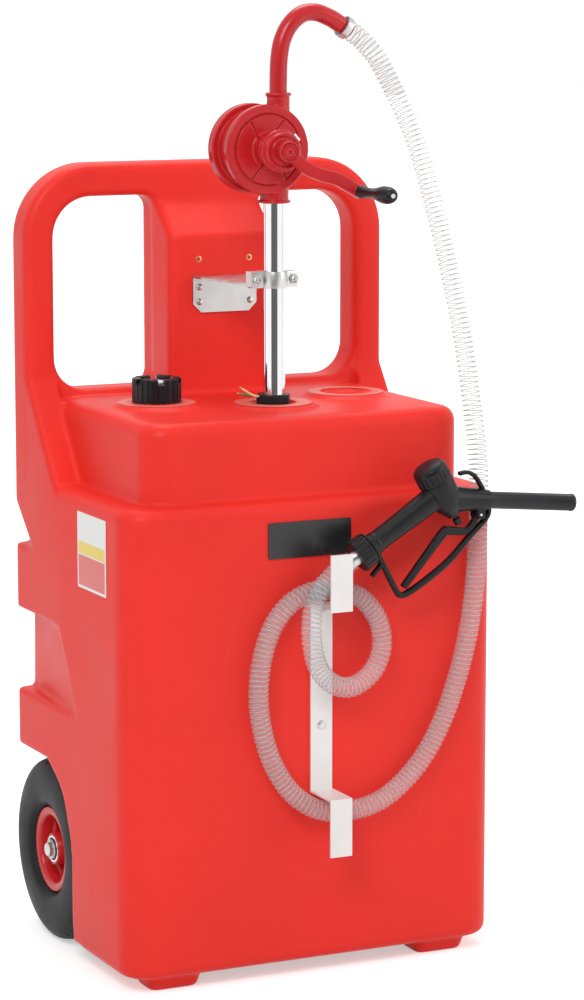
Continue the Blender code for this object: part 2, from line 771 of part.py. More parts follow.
def pump_bracket():
    """The plate on the block, and the arm from its top edge to the tube."""
    corners = [(-BRACKET_HALF, BRACKET_LOW), (BRACKET_HALF, BRACKET_LOW), (BRACKET_HALF, BRACKET_HIGH), (-BRACKET_HALF, BRACKET_HIGH)]
    c = BRACKET_CHAMFER
    outline = [
        (corners[0][0] + c, corners[0][1]),
        (corners[1][0] - c, corners[1][1]),
        (corners[1][0], corners[1][1] + c),
        corners[2],
        corners[3],
        (corners[0][0], corners[0][1] + c),
    ]
    rear = BLOCK_FRONT - GAP
    front = rear - BRACKET_THICK
    bm = skin([[(x, y, z) for x, z in outline] for y in (rear, front)])
    plate = new_object("tube_bracket", bm, zinc())
    arm_front = TUBE_Y + TUBE_RADIUS + CLAMP_THICK
    ear = arm_front
    sink = BRACKET_THICK / 2
    arm = [
        (-BRACKET_HALF, rear - sink),
        (BRACKET_HALF, rear - sink),
        (BRACKET_HALF, rear - ARM_HALF),
        (ARM_HALF, ear + ARM_HALF),
        (ARM_HALF, ear),
        (-ARM_HALF, ear),
        (-ARM_HALF, ear + ARM_HALF),
        (-BRACKET_HALF, rear - ARM_HALF),
    ]
    top = BRACKET_HIGH
    shelf = new_object("bracket_arm", prism(arm, top - BRACKET_THICK, top), zinc())
    low = top - BRACKET_THICK
    saddle_front = TUBE_Y + GAP
    upright = [(-CLAMP_EAR, saddle_front), (CLAMP_EAR, saddle_front), (CLAMP_EAR, ear + sink), (-CLAMP_EAR, ear + sink)]
    saddle = new_object("bracket_saddle", prism(upright, low, CLAMP_HIGH), zinc())
    join(plate, shelf, saddle)
    seat = rod(TUBE_RADIUS + GAP, low - OVERRUN, CLAMP_HIGH + OVERRUN, 16)
    cut(plate, new_object("saddle_seat", seat, zinc(), at(0, TUBE_Y, 0)))
    middle = (CLAMP_LOW + CLAMP_HIGH) / 2
    for side, word in ((-1, "left"), (1, "right")):
        place = at(side * CLAMP_BOLT_X, TUBE_Y - OVERRUN, middle) @ TO_FRONT
        hole = rod(CLAMP_BOLT_RADIUS + GAP, -OVERRUN - ear + TUBE_Y - OVERRUN, 0, 10)
        cut(plate, new_object(f"saddle_hole_{word}", hole, zinc(), place))
    for name, x, z in screw_places():
        place = at(x, front - OVERRUN, z) @ TO_FRONT
        hole = rod(SCREW_RADIUS + GAP, -OVERRUN - BRACKET_THICK - OVERRUN, 0, 8)
        cut(plate, new_object(f"{name}_plate_hole", hole, zinc(), place))


def clamp_strap():
    """The strap round the tube's front, with an ear on each side."""
    inner = TUBE_RADIUS + GAP
    outer = inner + CLAMP_THICK
    rear = TUBE_Y - GAP
    flat = rear - CLAMP_THICK
    lean = math.degrees(math.asin(CLAMP_THICK / outer))
    front_arc = arc((0, TUBE_Y), outer, 180 + lean, 360 - lean, 12)
    back_arc = arc((0, TUBE_Y), inner, 359, 181, 12)
    outline = [(-CLAMP_EAR, rear), (-CLAMP_EAR, flat), *front_arc, (CLAMP_EAR, flat), (CLAMP_EAR, rear), *back_arc]
    strap = new_object("clamp_strap", prism(outline, CLAMP_LOW, CLAMP_HIGH), zinc())
    middle = (CLAMP_LOW + CLAMP_HIGH) / 2
    ear = TUBE_Y + TUBE_RADIUS + CLAMP_THICK
    for side, word in ((-1, "left"), (1, "right")):
        place = at(side * CLAMP_BOLT_X, flat, middle) @ TO_FRONT
        hole = rod(CLAMP_BOLT_RADIUS + GAP, -OVERRUN, OVERRUN, 10)
        cut(strap, new_object(f"strap_hole_{word}", hole, zinc(), place))
        bolt = turned(
            [
                (0, flat - ear - CLAMP_THICK),
                (CLAMP_BOLT_RADIUS, flat - ear - CLAMP_THICK),
                (CLAMP_BOLT_RADIUS, GAP),
                (CLAMP_BOLT_HEAD, GAP),
                (CLAMP_BOLT_HEAD, CLAMP_BOLT_HEAD_THICK),
                (0, CLAMP_BOLT_HEAD_THICK + GAP),
            ],
            12,
        )
        new_object(f"clamp_bolt_{word}", bolt, zinc(), place)


def bracket_screws():
    seat = BLOCK_FRONT - GAP - BRACKET_THICK
    for name, x, z in screw_places():
        profile = [
            (0, -SCREW_LENGTH),
            (SCREW_RADIUS, -SCREW_LENGTH + SCREW_RADIUS),
            (SCREW_RADIUS, GAP),
            (SCREW_HEAD, GAP),
            (SCREW_HEAD * 2 / 3, SCREW_HEAD_THICK),
            (0, SCREW_HEAD_THICK),
        ]
        new_object(name, turned(profile, 8), zinc(), at(x, seat, z) @ TO_FRONT)


# Wheels and axle
TYRE_SHARES = ((0.475, 0.63), (0.54, 0.93), (0.70, 1.0), (0.90, 0.90), (0.975, 0.66), (1.0, 0.30))
RIM_SIDES = 14
HUB_LENGTH = 0.024
AXLE_WASHER_RADIUS = 0.0135
AXLE_WASHER_THICK = 0.002
PIN_RADIUS = 0.0015
PIN_HALF = 0.014
PIN_ROOM = 0.003
AXLE_END = 0.004


def set_origin(made, point):
    """Put an unturned object's origin on a point, such as one on its joint's axis."""
    made.data.transform(Matrix.Translation(Vector(made.location) - Vector(point)))
    made.location = point
    return made


def tyre_bm():
    half = WHEEL_WIDTH / 2
    seat = half * RIM_FLANGE_SHARE - GAP
    low = [(TYRE_BORE, -seat), *[(r * WHEEL_RADIUS, -w * half) for r, w in TYRE_SHARES]]
    return turned([*low, *[(r, -z) for r, z in reversed(low)]], 2 * RIM_SIDES)


def rim_bm(hub_length):
    """One pressed rim half, its flange outside the tyre's bead and its hub round the bearing."""
    flange = WHEEL_WIDTH / 2 * RIM_FLANGE_SHARE
    barrel = TYRE_BORE - GAP
    middle = GAP / 2
    thick = RIM_THICK
    profile = [
        (RIM_LIP, flange + thick),
        (RIM_LIP, flange),
        (barrel, flange),
        (barrel, middle),
        (HUB_BORE, middle),
        (HUB_BORE, hub_length),
        (HUB_BORE + thick, hub_length),
        (HUB_BORE + thick, middle + thick),
        (barrel - thick, middle + thick),
        (barrel - thick, flange + thick),
    ]
    return turned(profile, RIM_SIDES)


def wheel(side, word):
    centre = side * (WHEEL_OUTER_X - WHEEL_WIDTH / 2)
    place = at(centre, 0, WHEEL_RADIUS) @ ALONG_X
    outward = place @ Matrix.Rotation(math.radians(0 if side > 0 else 180), 4, "X")
    inward = place @ Matrix.Rotation(math.radians(180 if side > 0 else 0), 4, "X")
    long_hub = WHEEL_WIDTH / 2 + WHEEL_INNER_ROOM - 2 * GAP
    rim_paint = material("rim_red", (0.42, 0.012, 0.016), 0.3)
    new_object(f"tyre_{word}", tyre_bm(), rubber(), place)
    new_object(f"rim_outer_{word}", rim_bm(HUB_LENGTH), rim_paint, outward)
    new_object(f"rim_inner_{word}", rim_bm(long_hub), rim_paint, inward)
    for name, turn, end in (("outer", outward, HUB_LENGTH), ("inner", inward, long_hub)):
        bearing = sleeve(AXLE_RADIUS + GAP, HUB_BORE - GAP, end - BEARING_WIDTH, end - GAP, RIM_SIDES)
        new_object(f"bearing_{name}_{word}", bearing, black_plastic(), turn)
    low = HUB_LENGTH + GAP
    washer = sleeve(AXLE_RADIUS + GAP, AXLE_WASHER_RADIUS, low, low + AXLE_WASHER_THICK, 16)
    new_object(f"axle_washer_{word}", washer, zinc(), outward)
    pin_x = pin_place(side)
    new_object(f"split_pin_{word}", rod(PIN_RADIUS, -PIN_HALF, PIN_HALF, 8), zinc(), at(pin_x, 0, WHEEL_RADIUS))


def pin_place(side):
    centre = WHEEL_OUTER_X - WHEEL_WIDTH / 2
    return side * (centre + HUB_LENGTH + AXLE_WASHER_THICK + PIN_ROOM)


def wheel_axle():
    end = pin_place(1) + AXLE_END
    axle = new_object("wheel_axle", rod(AXLE_RADIUS, -end, end, 16), zinc(), at(0, 0, WHEEL_RADIUS) @ ALONG_X)
    for side, word in ((-1, "left"), (1, "right")):
        hole = rod(PIN_RADIUS + GAP, -PIN_HALF, PIN_HALF, 8)
        cut(axle, new_object(f"pin_hole_{word}", hole, zinc(), at(pin_place(side), 0, WHEEL_RADIUS)))


# Rotary pump; depths run forward from its rear face
PUMP_X = -0.018
PUMP_REAR = -0.139
PUMP_RADIUS = 0.061
PUMP_GROOVE = 0.052
PUMP_COVER = 0.006
PUMP_FLANGE = 0.010
PUMP_DEPTH = 0.0645
PUMP_RING = 0.048
PUMP_RING_CUT = 0.0012
PUMP_BOSS = 0.024
PUMP_BOSS_END = 0.083
GLAND_RADIUS = 0.020
GLAND_END = 0.104
SHAFT_RADIUS = 0.0075
CHAMBER_RADIUS = 0.043
CHAMBER_SHIFT = 0.007
CHAMBER_FRONT = 0.052
ROTOR_RADIUS = 0.0355
VANE_THICK = 0.005
LOW_PORT_RADIUS = 0.0192
HIGH_PORT_RADIUS = 0.0155
HIGH_PORT_X = 0.006
PORT_INNER = 0.041
PORT_LOW = 1.054
PORT_HIGH = 1.199
PORT_SEAT = 0.016
PORT_BORE = 0.010
CHANNEL_END = 0.032
LOW_FLANGE = 0.0225
HIGH_FLANGE = 0.0178
FLANGE_THICK = 0.004
CRANK_FRONT = -0.272
CRANK_REAR = -0.258
HUB_HALF = 0.0145
CRANK_WASHER = 0.0135
CRANK_WASHER_THICK = 0.002
SPOUT_RADIUS = 0.012
SPOUT_WALL = 0.0025
BARB_RADIUS = 0.0106
BARB_LENGTH = 0.016


def pump_place():
    return at(PUMP_X, PUMP_REAR, PUMP_Z) @ TO_FRONT


def pump_body():
    low = PUMP_COVER + GAP
    top = PUMP_DEPTH
    ring = PUMP_RING
    c = PUMP_RING_CUT
    profile = [
        (0, low),
        (PUMP_RADIUS, low),
        (PUMP_RADIUS, low + PUMP_FLANGE),
        (PUMP_GROOVE, low + PUMP_FLANGE),
        (PUMP_GROOVE, top - PUMP_FLANGE),
        (PUMP_RADIUS, top - PUMP_FLANGE),
        (PUMP_RADIUS, top - c),
        (PUMP_RADIUS - c, top),
        (ring + c, top),
        (ring, top - c),
        (ring - c, top),
        (PUMP_BOSS, top),
        (PUMP_BOSS, PUMP_BOSS_END - c),
        (PUMP_BOSS - c, PUMP_BOSS_END),
        (0, PUMP_BOSS_END),
    ]
    body = new_object("pump_body", turned(profile, 24), pump_paint(), pump_place())
    ports = (
        ("lower", 0, LOW_PORT_RADIUS, LOW_FLANGE, PORT_LOW, PUMP_Z - PORT_INNER),
        ("upper", HIGH_PORT_X, HIGH_PORT_RADIUS, HIGH_FLANGE, PORT_HIGH, PUMP_Z + PORT_INNER),
    )
    for word, x, radius, flange, seat, inner in ports:
        port = rod(radius, min(seat, inner), max(seat, inner) - GAP, 16)
        join(body, new_object(f"{word}_port", port, pump_paint(), at(x, TUBE_Y, 0)))
        plate = rod(flange, seat - FLANGE_THICK, seat, 16)
        join(body, new_object(f"{word}_flange", plate, pump_paint(), at(x, TUBE_Y, 0)))
    chamber = rod(CHAMBER_RADIUS, low - OVERRUN, CHAMBER_FRONT, 24)
    cut(body, new_object("chamber", chamber, pump_paint(), pump_place() @ at(CHAMBER_SHIFT, 0, 0)))
    bore = rod(SHAFT_RADIUS + GAP, low - OVERRUN, PUMP_BOSS_END + OVERRUN, 12)
    cut(body, new_object("shaft_bore", bore, pump_paint(), pump_place()))
    port_bores(body)


def port_bores(body):
    """The seats of the tube and the spout, and their channels to the chamber."""
    lower = PORT_LOW - FLANGE_THICK
    seats = (
        ("lower", 0, TUBE_RADIUS, lower - OVERRUN, lower + PORT_SEAT, PUMP_Z - CHANNEL_END),
        ("upper", HIGH_PORT_X, SPOUT_RADIUS, PORT_HIGH + OVERRUN, PORT_HIGH - PORT_SEAT, PUMP_Z + CHANNEL_END),
    )
    for word, x, radius, outside, seat, end in seats:
        place = at(x, TUBE_Y, 0)
        wide = rod(radius + GAP, min(outside, seat), max(outside, seat), 16)
        cut(body, new_object(f"{word}_seat", wide, pump_paint(), place))
        start = (outside + seat) / 2
        narrow = rod(PORT_BORE, min(start, end), max(start, end), 12)
        cut(body, new_object(f"{word}_channel", narrow, pump_paint(), place))


def pump_inside():
    low = PUMP_COVER + 2 * GAP
    cover = turned([(0, 0), (PUMP_RADIUS - GAP, 0), (PUMP_RADIUS, GAP), (PUMP_RADIUS, PUMP_COVER), (0, PUMP_COVER)], 24)
    new_object("pump_rear_cover", cover, pump_paint(), pump_place())
    rotor = new_object("pump_rotor", rod(ROTOR_RADIUS, low, CHAMBER_FRONT - GAP, 20), zinc(), pump_place())
    bore = rod(SHAFT_RADIUS + GAP, low - OVERRUN, CHAMBER_FRONT + OVERRUN, 12)
    cut(rotor, new_object("rotor_bore", bore, zinc(), pump_place()))
    half = VANE_THICK / 2
    start = SHAFT_RADIUS + 2 * VANE_THICK / 5
    outline = rounded_box((start, -half), (ROTOR_RADIUS - GAP, half), 0, 1)
    vane = prism(outline, low + GAP, CHAMBER_FRONT - 2 * GAP)
    new_object("rotor_vane", vane, black_plastic(), pump_place())
    slot_line = rounded_box((start - GAP, -half - GAP), (ROTOR_RADIUS + OVERRUN, half + GAP), 0, 1)
    slot = prism(slot_line, low - OVERRUN, CHAMBER_FRONT + OVERRUN)
    cut(rotor, new_object("vane_slot", slot, zinc(), pump_place()))


def pump_shaft():
    front = PUMP_REAR - CRANK_FRONT
    new_object("pump_shaft", rod(SHAFT_RADIUS, PUMP_COVER + 2 * GAP, front + GAP, 12), zinc(), pump_place())
    start = PUMP_BOSS_END + GAP
    edge = CRANK_WASHER_THICK
    bore = SHAFT_RADIUS + GAP
    profile = [(bore, start), (GLAND_RADIUS, start), (GLAND_RADIUS, GLAND_END - edge), (GLAND_RADIUS - edge, GLAND_END), (bore, GLAND_END)]
    new_object("gland_nut", turned(profile, 16), pump_paint(), pump_place())
    rear = PUMP_REAR - CRANK_REAR - GAP
    washer = sleeve(bore, CRANK_WASHER, rear - CRANK_WASHER_THICK, rear, 16)
    new_object("crank_washer", washer, chrome(), pump_place())


# Crank and grip
CRANK_HALF = 0.0086
CRANK_THICK = 0.0045
CRANK_MIDDLE = -0.265
GRIP_X = 0.0809
GRIP_Z = 1.0685
GRIP_START = -0.2845
GRIP_END = -0.380
ARM_SHARES = ((0.0, 0.0, 0.0), (0.13, 0.20, 0.05), (0.26, 0.40, 0.22), (0.46, 0.57, 0.45), (0.68, 0.68, 0.70), (0.90, 0.90, 0.95), (1.04, 1.05, 1.0))
GRIP_SHARES = ((0.0, 0.66), (0.06, 0.74), (0.20, 0.62), (0.38, 0.60), (0.55, 0.78), (0.72, 1.0), (0.86, 0.98), (0.95, 0.80), (1.0, 0.45))
GRIP_RADIUS = 0.0118
SPINDLE_RADIUS = 0.0036
SPINDLE_PROUD = 0.0006


def crank():
    drop = PUMP_Z - GRIP_Z
    reach = CRANK_MIDDLE - (GRIP_START + CRANK_THICK + GAP)
    span = GRIP_X - PUMP_X
    path = [(PUMP_X + x * span, CRANK_MIDDLE - y * reach, PUMP_Z - z * drop) for x, z, y in ARM_SHARES]
    bm = swept(smooth_path(path, 2), CRANK_HALF, CRANK_THICK, (0, 1, 0))
    arm = new_object("crank_arm", bm, pump_paint())
    set_origin(arm, (PUMP_X, CRANK_MIDDLE, PUMP_Z))
    hub = rod(HUB_HALF, PUMP_REAR - CRANK_REAR, PUMP_REAR - CRANK_FRONT, 20)
    join(arm, new_object("crank_hub", hub, pump_paint(), pump_place()))
    end = rod(CRANK_HALF, -GRIP_START - 2 * CRANK_THICK - GAP, -GRIP_START - GAP, 16)
    join(arm, new_object("crank_eye", end, pump_paint(), at(GRIP_X, 0, GRIP_Z) @ TO_FRONT))
    bore = rod(SHAFT_RADIUS + GAP, 0, PUMP_REAR - CRANK_FRONT + OVERRUN, 12)
    cut(arm, new_object("crank_bore", bore, pump_paint(), pump_place()))
    hole = rod(SPINDLE_RADIUS + GAP, 0, OVERRUN - GRIP_START, 10)
    cut(arm, new_object("spindle_hole", hole, pump_paint(), at(GRIP_X, 0, GRIP_Z) @ TO_FRONT))
    place = at(GRIP_X, GRIP_START, GRIP_Z) @ TO_FRONT
    length = GRIP_START - GRIP_END
    bore_radius = SPINDLE_RADIUS + GAP
    outer = [(share * GRIP_RADIUS, along * length) for along, share in GRIP_SHARES]
    grip = turned([(bore_radius, 0), *outer, (bore_radius, length)], 14)
    new_object("crank_grip", grip, black_plastic(), place)
    back = GRIP_START + 2 * CRANK_THICK
    new_object("grip_spindle", rod(SPINDLE_RADIUS, GRIP_START - back, length + SPINDLE_PROUD, 10), zinc(), place)


# Suction tube, strainer and the bent spout
STRAINER_RADIUS = 0.020
STRAINER_LENGTH = 0.034
STRAINER_WALL = 0.002
STRAINER_SLOT = 0.003
SPOUT_POINTS = (
    (HIGH_PORT_X, 1.184),
    (HIGH_PORT_X, 1.212),
    (0.0074, 1.245),
    (0.0125, 1.270),
    (0.0245, 1.291),
    (0.0425, 1.3045),
    (0.0625, 1.3064),
    (0.082, 1.2998),
    (0.0936, 1.2937),
    (0.1014, 1.2888),
)


def suction_tube():
    top = PORT_LOW - FLANGE_THICK + PORT_SEAT - GAP
    bm = sleeve(TUBE_RADIUS - TUBE_WALL, TUBE_RADIUS, TUBE_LOW, top, 20)
    new_object("suction_tube", bm, chrome(), at(0, TUBE_Y, 0))
    inner = TUBE_RADIUS + GAP
    low = TUBE_LOW - STRAINER_LENGTH / 2
    high = TUBE_LOW + STRAINER_LENGTH / 2
    cup = turned([(0, low), (STRAINER_RADIUS, low), (STRAINER_RADIUS, high), (inner, high), (inner, low + STRAINER_WALL), (0, low + STRAINER_WALL)], 16)
    strainer = new_object("suction_strainer", cup, black_plastic(), at(0, TUBE_Y, 0))
    for i, turn in enumerate((0, 90)):
        outline = rounded_box((-STRAINER_RADIUS * 2, -STRAINER_SLOT), (STRAINER_RADIUS * 2, STRAINER_SLOT), 0, 1)
        slot = prism(outline, low + 2 * STRAINER_WALL, TUBE_LOW - STRAINER_WALL)
        place = at(0, TUBE_Y, 0) @ Matrix.Rotation(math.radians(turn + 45), 4, "Z")
        cut(strainer, new_object(f"strainer_slot_{i}", slot, black_plastic(), place))


def spout_pipe():
    path = [Vector((x, TUBE_Y, z)) for x, z in SPOUT_POINTS]
    outer = swept(path, SPOUT_RADIUS, SPOUT_RADIUS, (0, 1, 0), 12)
    pipe = new_object("spout_pipe", outer, pump_paint())
    first = path[0] + (path[0] - path[1])
    last = path[-1] + (path[-1] - path[-2]).normalized() * (BARB_LENGTH + OVERRUN)
    ahead = (path[-1] - path[-2]).normalized()
    barb = rod(BARB_RADIUS, -BARB_LENGTH / 2, BARB_LENGTH, 12)
    join(pipe, new_object("spout_barb", barb, pump_paint(), facing(*path[-1], ahead, (0, 1, 0))))
    inner = SPOUT_RADIUS - SPOUT_WALL
    bore = swept([first, *path, last], inner, inner, (0, 1, 0), 10)
    cut(pipe, new_object("spout_bore", bore, pump_paint()))


# Delivery hose: its route is a list of points, from the spout to the nozzle's tail
HOSE_RADIUS = 0.0145
HOSE_ROOT = 0.0135
HOSE_BORE = 0.0124
HOSE_SIDES = 8
HOSE_RIBS = 90
BORE_STEPS = 68
HOSE_ROUTE = (
    (0.1024, -0.1840, 1.2882),
    (0.1144, -0.1840, 1.2809),
    (0.1268, -0.1842, 1.2730),
    (0.1372, -0.1885, 1.2620),
    (0.1495, -0.2000, 1.2416),
    (0.1713, -0.2150, 1.1915),
    (0.1937, -0.2350, 1.1224),
    (0.2090, -0.2600, 1.0347),
    (0.2206, -0.2800, 0.9549),
    (0.2290, -0.3000, 0.8740),
    (0.2347, -0.3180, 0.7822),
    (0.2400, -0.3290, 0.6945),
    (0.2385, -0.3345, 0.6386),
    (0.2360, -0.3355, 0.5790),
    (0.2319, -0.3355, 0.5207),
    (0.2230, -0.3355, 0.4625),
    (0.2080, -0.3355, 0.4050),
    (0.1850, -0.3355, 0.3450),
    (0.1556, -0.3355, 0.2952),
    (0.1210, -0.3370, 0.2610),
    (0.0856, -0.3390, 0.2400),
    (0.0470, -0.3400, 0.2315),
    (0.0087, -0.3405, 0.2330),
    (-0.0241, -0.3400, 0.2455),
    (-0.0544, -0.3370, 0.2730),
    (-0.0800, -0.3355, 0.3200),
    (-0.0945, -0.3355, 0.3827),
    (-0.0925, -0.3355, 0.4400),
    (-0.0775, -0.3355, 0.4890),
    (-0.0530, -0.3355, 0.5210),
    (-0.0240, -0.3355, 0.5360),
    (0.0060, -0.3355, 0.5395),
    (0.0360, -0.3355, 0.5350),
    (0.0640, -0.3360, 0.5180),
    (0.0840, -0.3375, 0.4880),
    (0.0860, -0.3420, 0.4530),
    (0.0700, -0.3460, 0.4230),
    (0.0390, -0.3500, 0.4060),
    (0.0060, -0.3560, 0.4130),
    (-0.0190, -0.3615, 0.4390),
    (-0.0300, -0.3650, 0.4750),
    (-0.0300, -0.3655, 0.5130),
    (-0.0190, -0.3655, 0.5440),
    (-0.0060, -0.3653, 0.5572),
    (0.0046, -0.3650, 0.5664),
    (0.0165, -0.3650, 0.5738),
    (0.0284, -0.3650, 0.5812),
)


def along(points, count):
    """Points spaced evenly on the smooth curve through the given points."""
    fine = smooth_path(points, 16)
    steps = [0.0]
    for a, b in zip(fine, fine[1:]):
        steps.append(steps[-1] + (b - a).length)
    made = []
    k = 0
    for i in range(count):
        want = steps[-1] * i / (count - 1)
        while k < len(steps) - 2 and steps[k + 1] < want:
            k += 1
        span = steps[k + 1] - steps[k]
        made.append(fine[k].lerp(fine[k + 1], (want - steps[k]) / span))
    return made, steps[-1]


def carried_rings(points, radii, sides):
    """Rings round a path that don't twist, one radius for each point."""
    rings = []
    side = Vector((0, 1, 0))
    for i, here in enumerate(points):
        ahead = (points[min(i + 1, len(points) - 1)] - points[max(i - 1, 0)]).normalized()
        side = (side - ahead * ahead.dot(side)).normalized()
        over = ahead.cross(side)
        turns = [2 * math.pi * (k + 0.5) / sides for k in range(sides)]
        rings.append([here + (side * math.cos(t) + over * math.sin(t)) * radii[i] for t in turns])
    return rings


def delivery_hose():
    points, length = along(HOSE_ROUTE, 2 * HOSE_RIBS)
    radii = [HOSE_RADIUS if i % 2 else HOSE_ROOT for i in range(len(points))]
    outer = carried_rings(points, radii, HOSE_SIDES)
    plain = along(HOSE_ROUTE, BORE_STEPS)[0]
    inner = carried_rings(plain, [HOSE_BORE] * BORE_STEPS, HOSE_SIDES)
    hose = new_object("delivery_hose", skin([*outer, *inner[::-1], outer[0]], False), clear_hose())
    far = round(4 * HOSE_RADIUS * BORE_STEPS / length)
    pairs = [(plain[i] - plain[k]).length for i in range(BORE_STEPS) for k in range(i + far, BORE_STEPS)]
    print(f"hose length {length:.4f} m, least gap to itself {min(pairs) - 2 * HOSE_RADIUS:.4f} m")
    return hose


CLAMP_BAND = 0.0012
CLAMP_BAND_HALF = 0.0045
CLAMP_BAND_BACK = 0.009
CLAMP_SCREW_HALF = 0.0045


def hose_clamp():
    """The band round the hose's first end, with its screw housing."""
    end = Vector(HOSE_ROUTE[1])
    ahead = (end - Vector(HOSE_ROUTE[0])).normalized()
    place = facing(*(end - ahead * CLAMP_BAND_BACK), ahead, (0, 1, 0))
    inner = HOSE_RADIUS + GAP
    band = new_object("hose_clamp", sleeve(inner, inner + CLAMP_BAND, -CLAMP_BAND_HALF, CLAMP_BAND_HALF, 20), zinc(), place)
    outline = rounded_box((-CLAMP_SCREW_HALF, inner + CLAMP_BAND / 2), (CLAMP_SCREW_HALF, inner + 2 * CLAMP_SCREW_HALF), 0, 1)
    housing = prism(outline, -CLAMP_BAND_HALF * 1.2, CLAMP_BAND_HALF * 1.2)
    join(band, new_object("clamp_screw", housing, zinc(), place))


# Nozzle, all in one upright plane
NOZZLE_Y = -0.365
HANDLE_START = (0.0640, 0.6035)
HANDLE_END = (0.1480, 0.6560)
HANDLE_RADIUS = 0.0152
HANDLE_WIDE = 0.0172
VALVE_CENTRE = (0.1630, 0.6680)
VALVE_LEAN = 31
HEAD_SIDES = 14
HEAD_RADIUS = 0.0232
HEAD_TOP = 0.016
NECK_RADIUS = 0.0192
NECK_TOP = 0.031
HEAD_LOW = 0.016
HEAD_LOW_RADIUS = 0.0215
HUB_LOW = 0.040
HUB_LOW_RADIUS = 0.0100
VALVE_BORE = 0.0100
VALVE_BORE_LOW = 0.028
STEM_RADIUS = 0.0030
SNOUT_START = (0.1700, 0.6560)
SNOUT_END = (0.2366, 0.6500)
SNOUT_RADIUS = 0.0140
SPOUT_TIP = (0.3694, 0.6375)
NOZZLE_SPOUT_RADIUS = 0.0118
NOZZLE_SPOUT_WALL = 0.0020
SPOUT_SEAT = 0.012
PASSAGE = 0.0080
FLANGE_RADIUS = 0.0225
NUT_RADIUS = 0.0235
NUT_REAR = 0.0335
NUT_FRONT = 0.0123
NUT_WALL = 0.0045
NUT_BORE = 0.0178
NUT_NOTCH = 0.0022
NUT_LOBES = 10
TAIL_RADIUS = 0.0110
TAIL_WALL = 0.0025
TAIL_END = 0.060
TAIL_FLANGE = 0.0030
GUARD_POINTS = (
    (0.2375, 0.6440),
    (0.2335, 0.6265),
    (0.2060, 0.6005),
    (0.1781, 0.5724),
    (0.1475, 0.5508),
    (0.1201, 0.5346),
    (0.1040, 0.5288),
    (0.0950, 0.5370),
    (0.0697, 0.5842),
    (0.0590, 0.6040),
)
GUARD_HALF = 0.0032
GUARD_DEPTH = 0.0055
FIN_POINTS = ((0.1910, 0.6890), (0.2000, 0.6905), (0.2090, 0.6885), (0.2180, 0.6810), (0.2320, 0.6580))
FIN_HALF = 0.0028
FIN_DEPTH = 0.0050
TRIGGER_POINTS = (
    (0.2205, 0.6320),
    (0.2112, 0.6178),
    (0.2000, 0.6100),
    (0.1750, 0.6120),
    (0.1635, 0.6060),
    (0.1110, 0.5445),
)
TRIGGER_HALF = (0.0042, 0.0040, 0.0050, 0.0062, 0.0062, 0.0045)
TRIGGER_DEPTH = 0.0055
TRIGGER_PIN = 0.0020
LUG_HALF = 0.0060
LUG_DEPTH = 0.0110
STEM_BOOT = 0.0055
STEM_BOOT_START = 0.0462
STEM_END = 0.0556
STEM_TOP = -0.014
POPPET_RADIUS = 0.0086
POPPET_LOW = 0.0220
POPPET_THICK = 0.004
SPRING_RADIUS = 0.0062
SPRING_WIRE = 0.0008
SPRING_TURNS = 5
SPRING_TOP = -0.016
CAP_LENGTH = 0.026
VALVE_CAP_RADIUS = 0.0243


def in_plane(points):
    return [(x, NOZZLE_Y, z) for x, z in points]


def handle_axis():
    ahead = Vector((HANDLE_END[0] - HANDLE_START[0], 0, HANDLE_END[1] - HANDLE_START[1])).normalized()
    return facing(HANDLE_START[0], NOZZLE_Y, HANDLE_START[1], ahead, (0, 1, 0))


def valve_axis():
    """The valve's place: its local Z runs down to the trigger."""
    lean = math.radians(VALVE_LEAN)
    ahead = (math.sin(lean), 0, -math.cos(lean))
    return facing(VALVE_CENTRE[0], NOZZLE_Y, VALVE_CENTRE[1], ahead, (0, 1, 0))


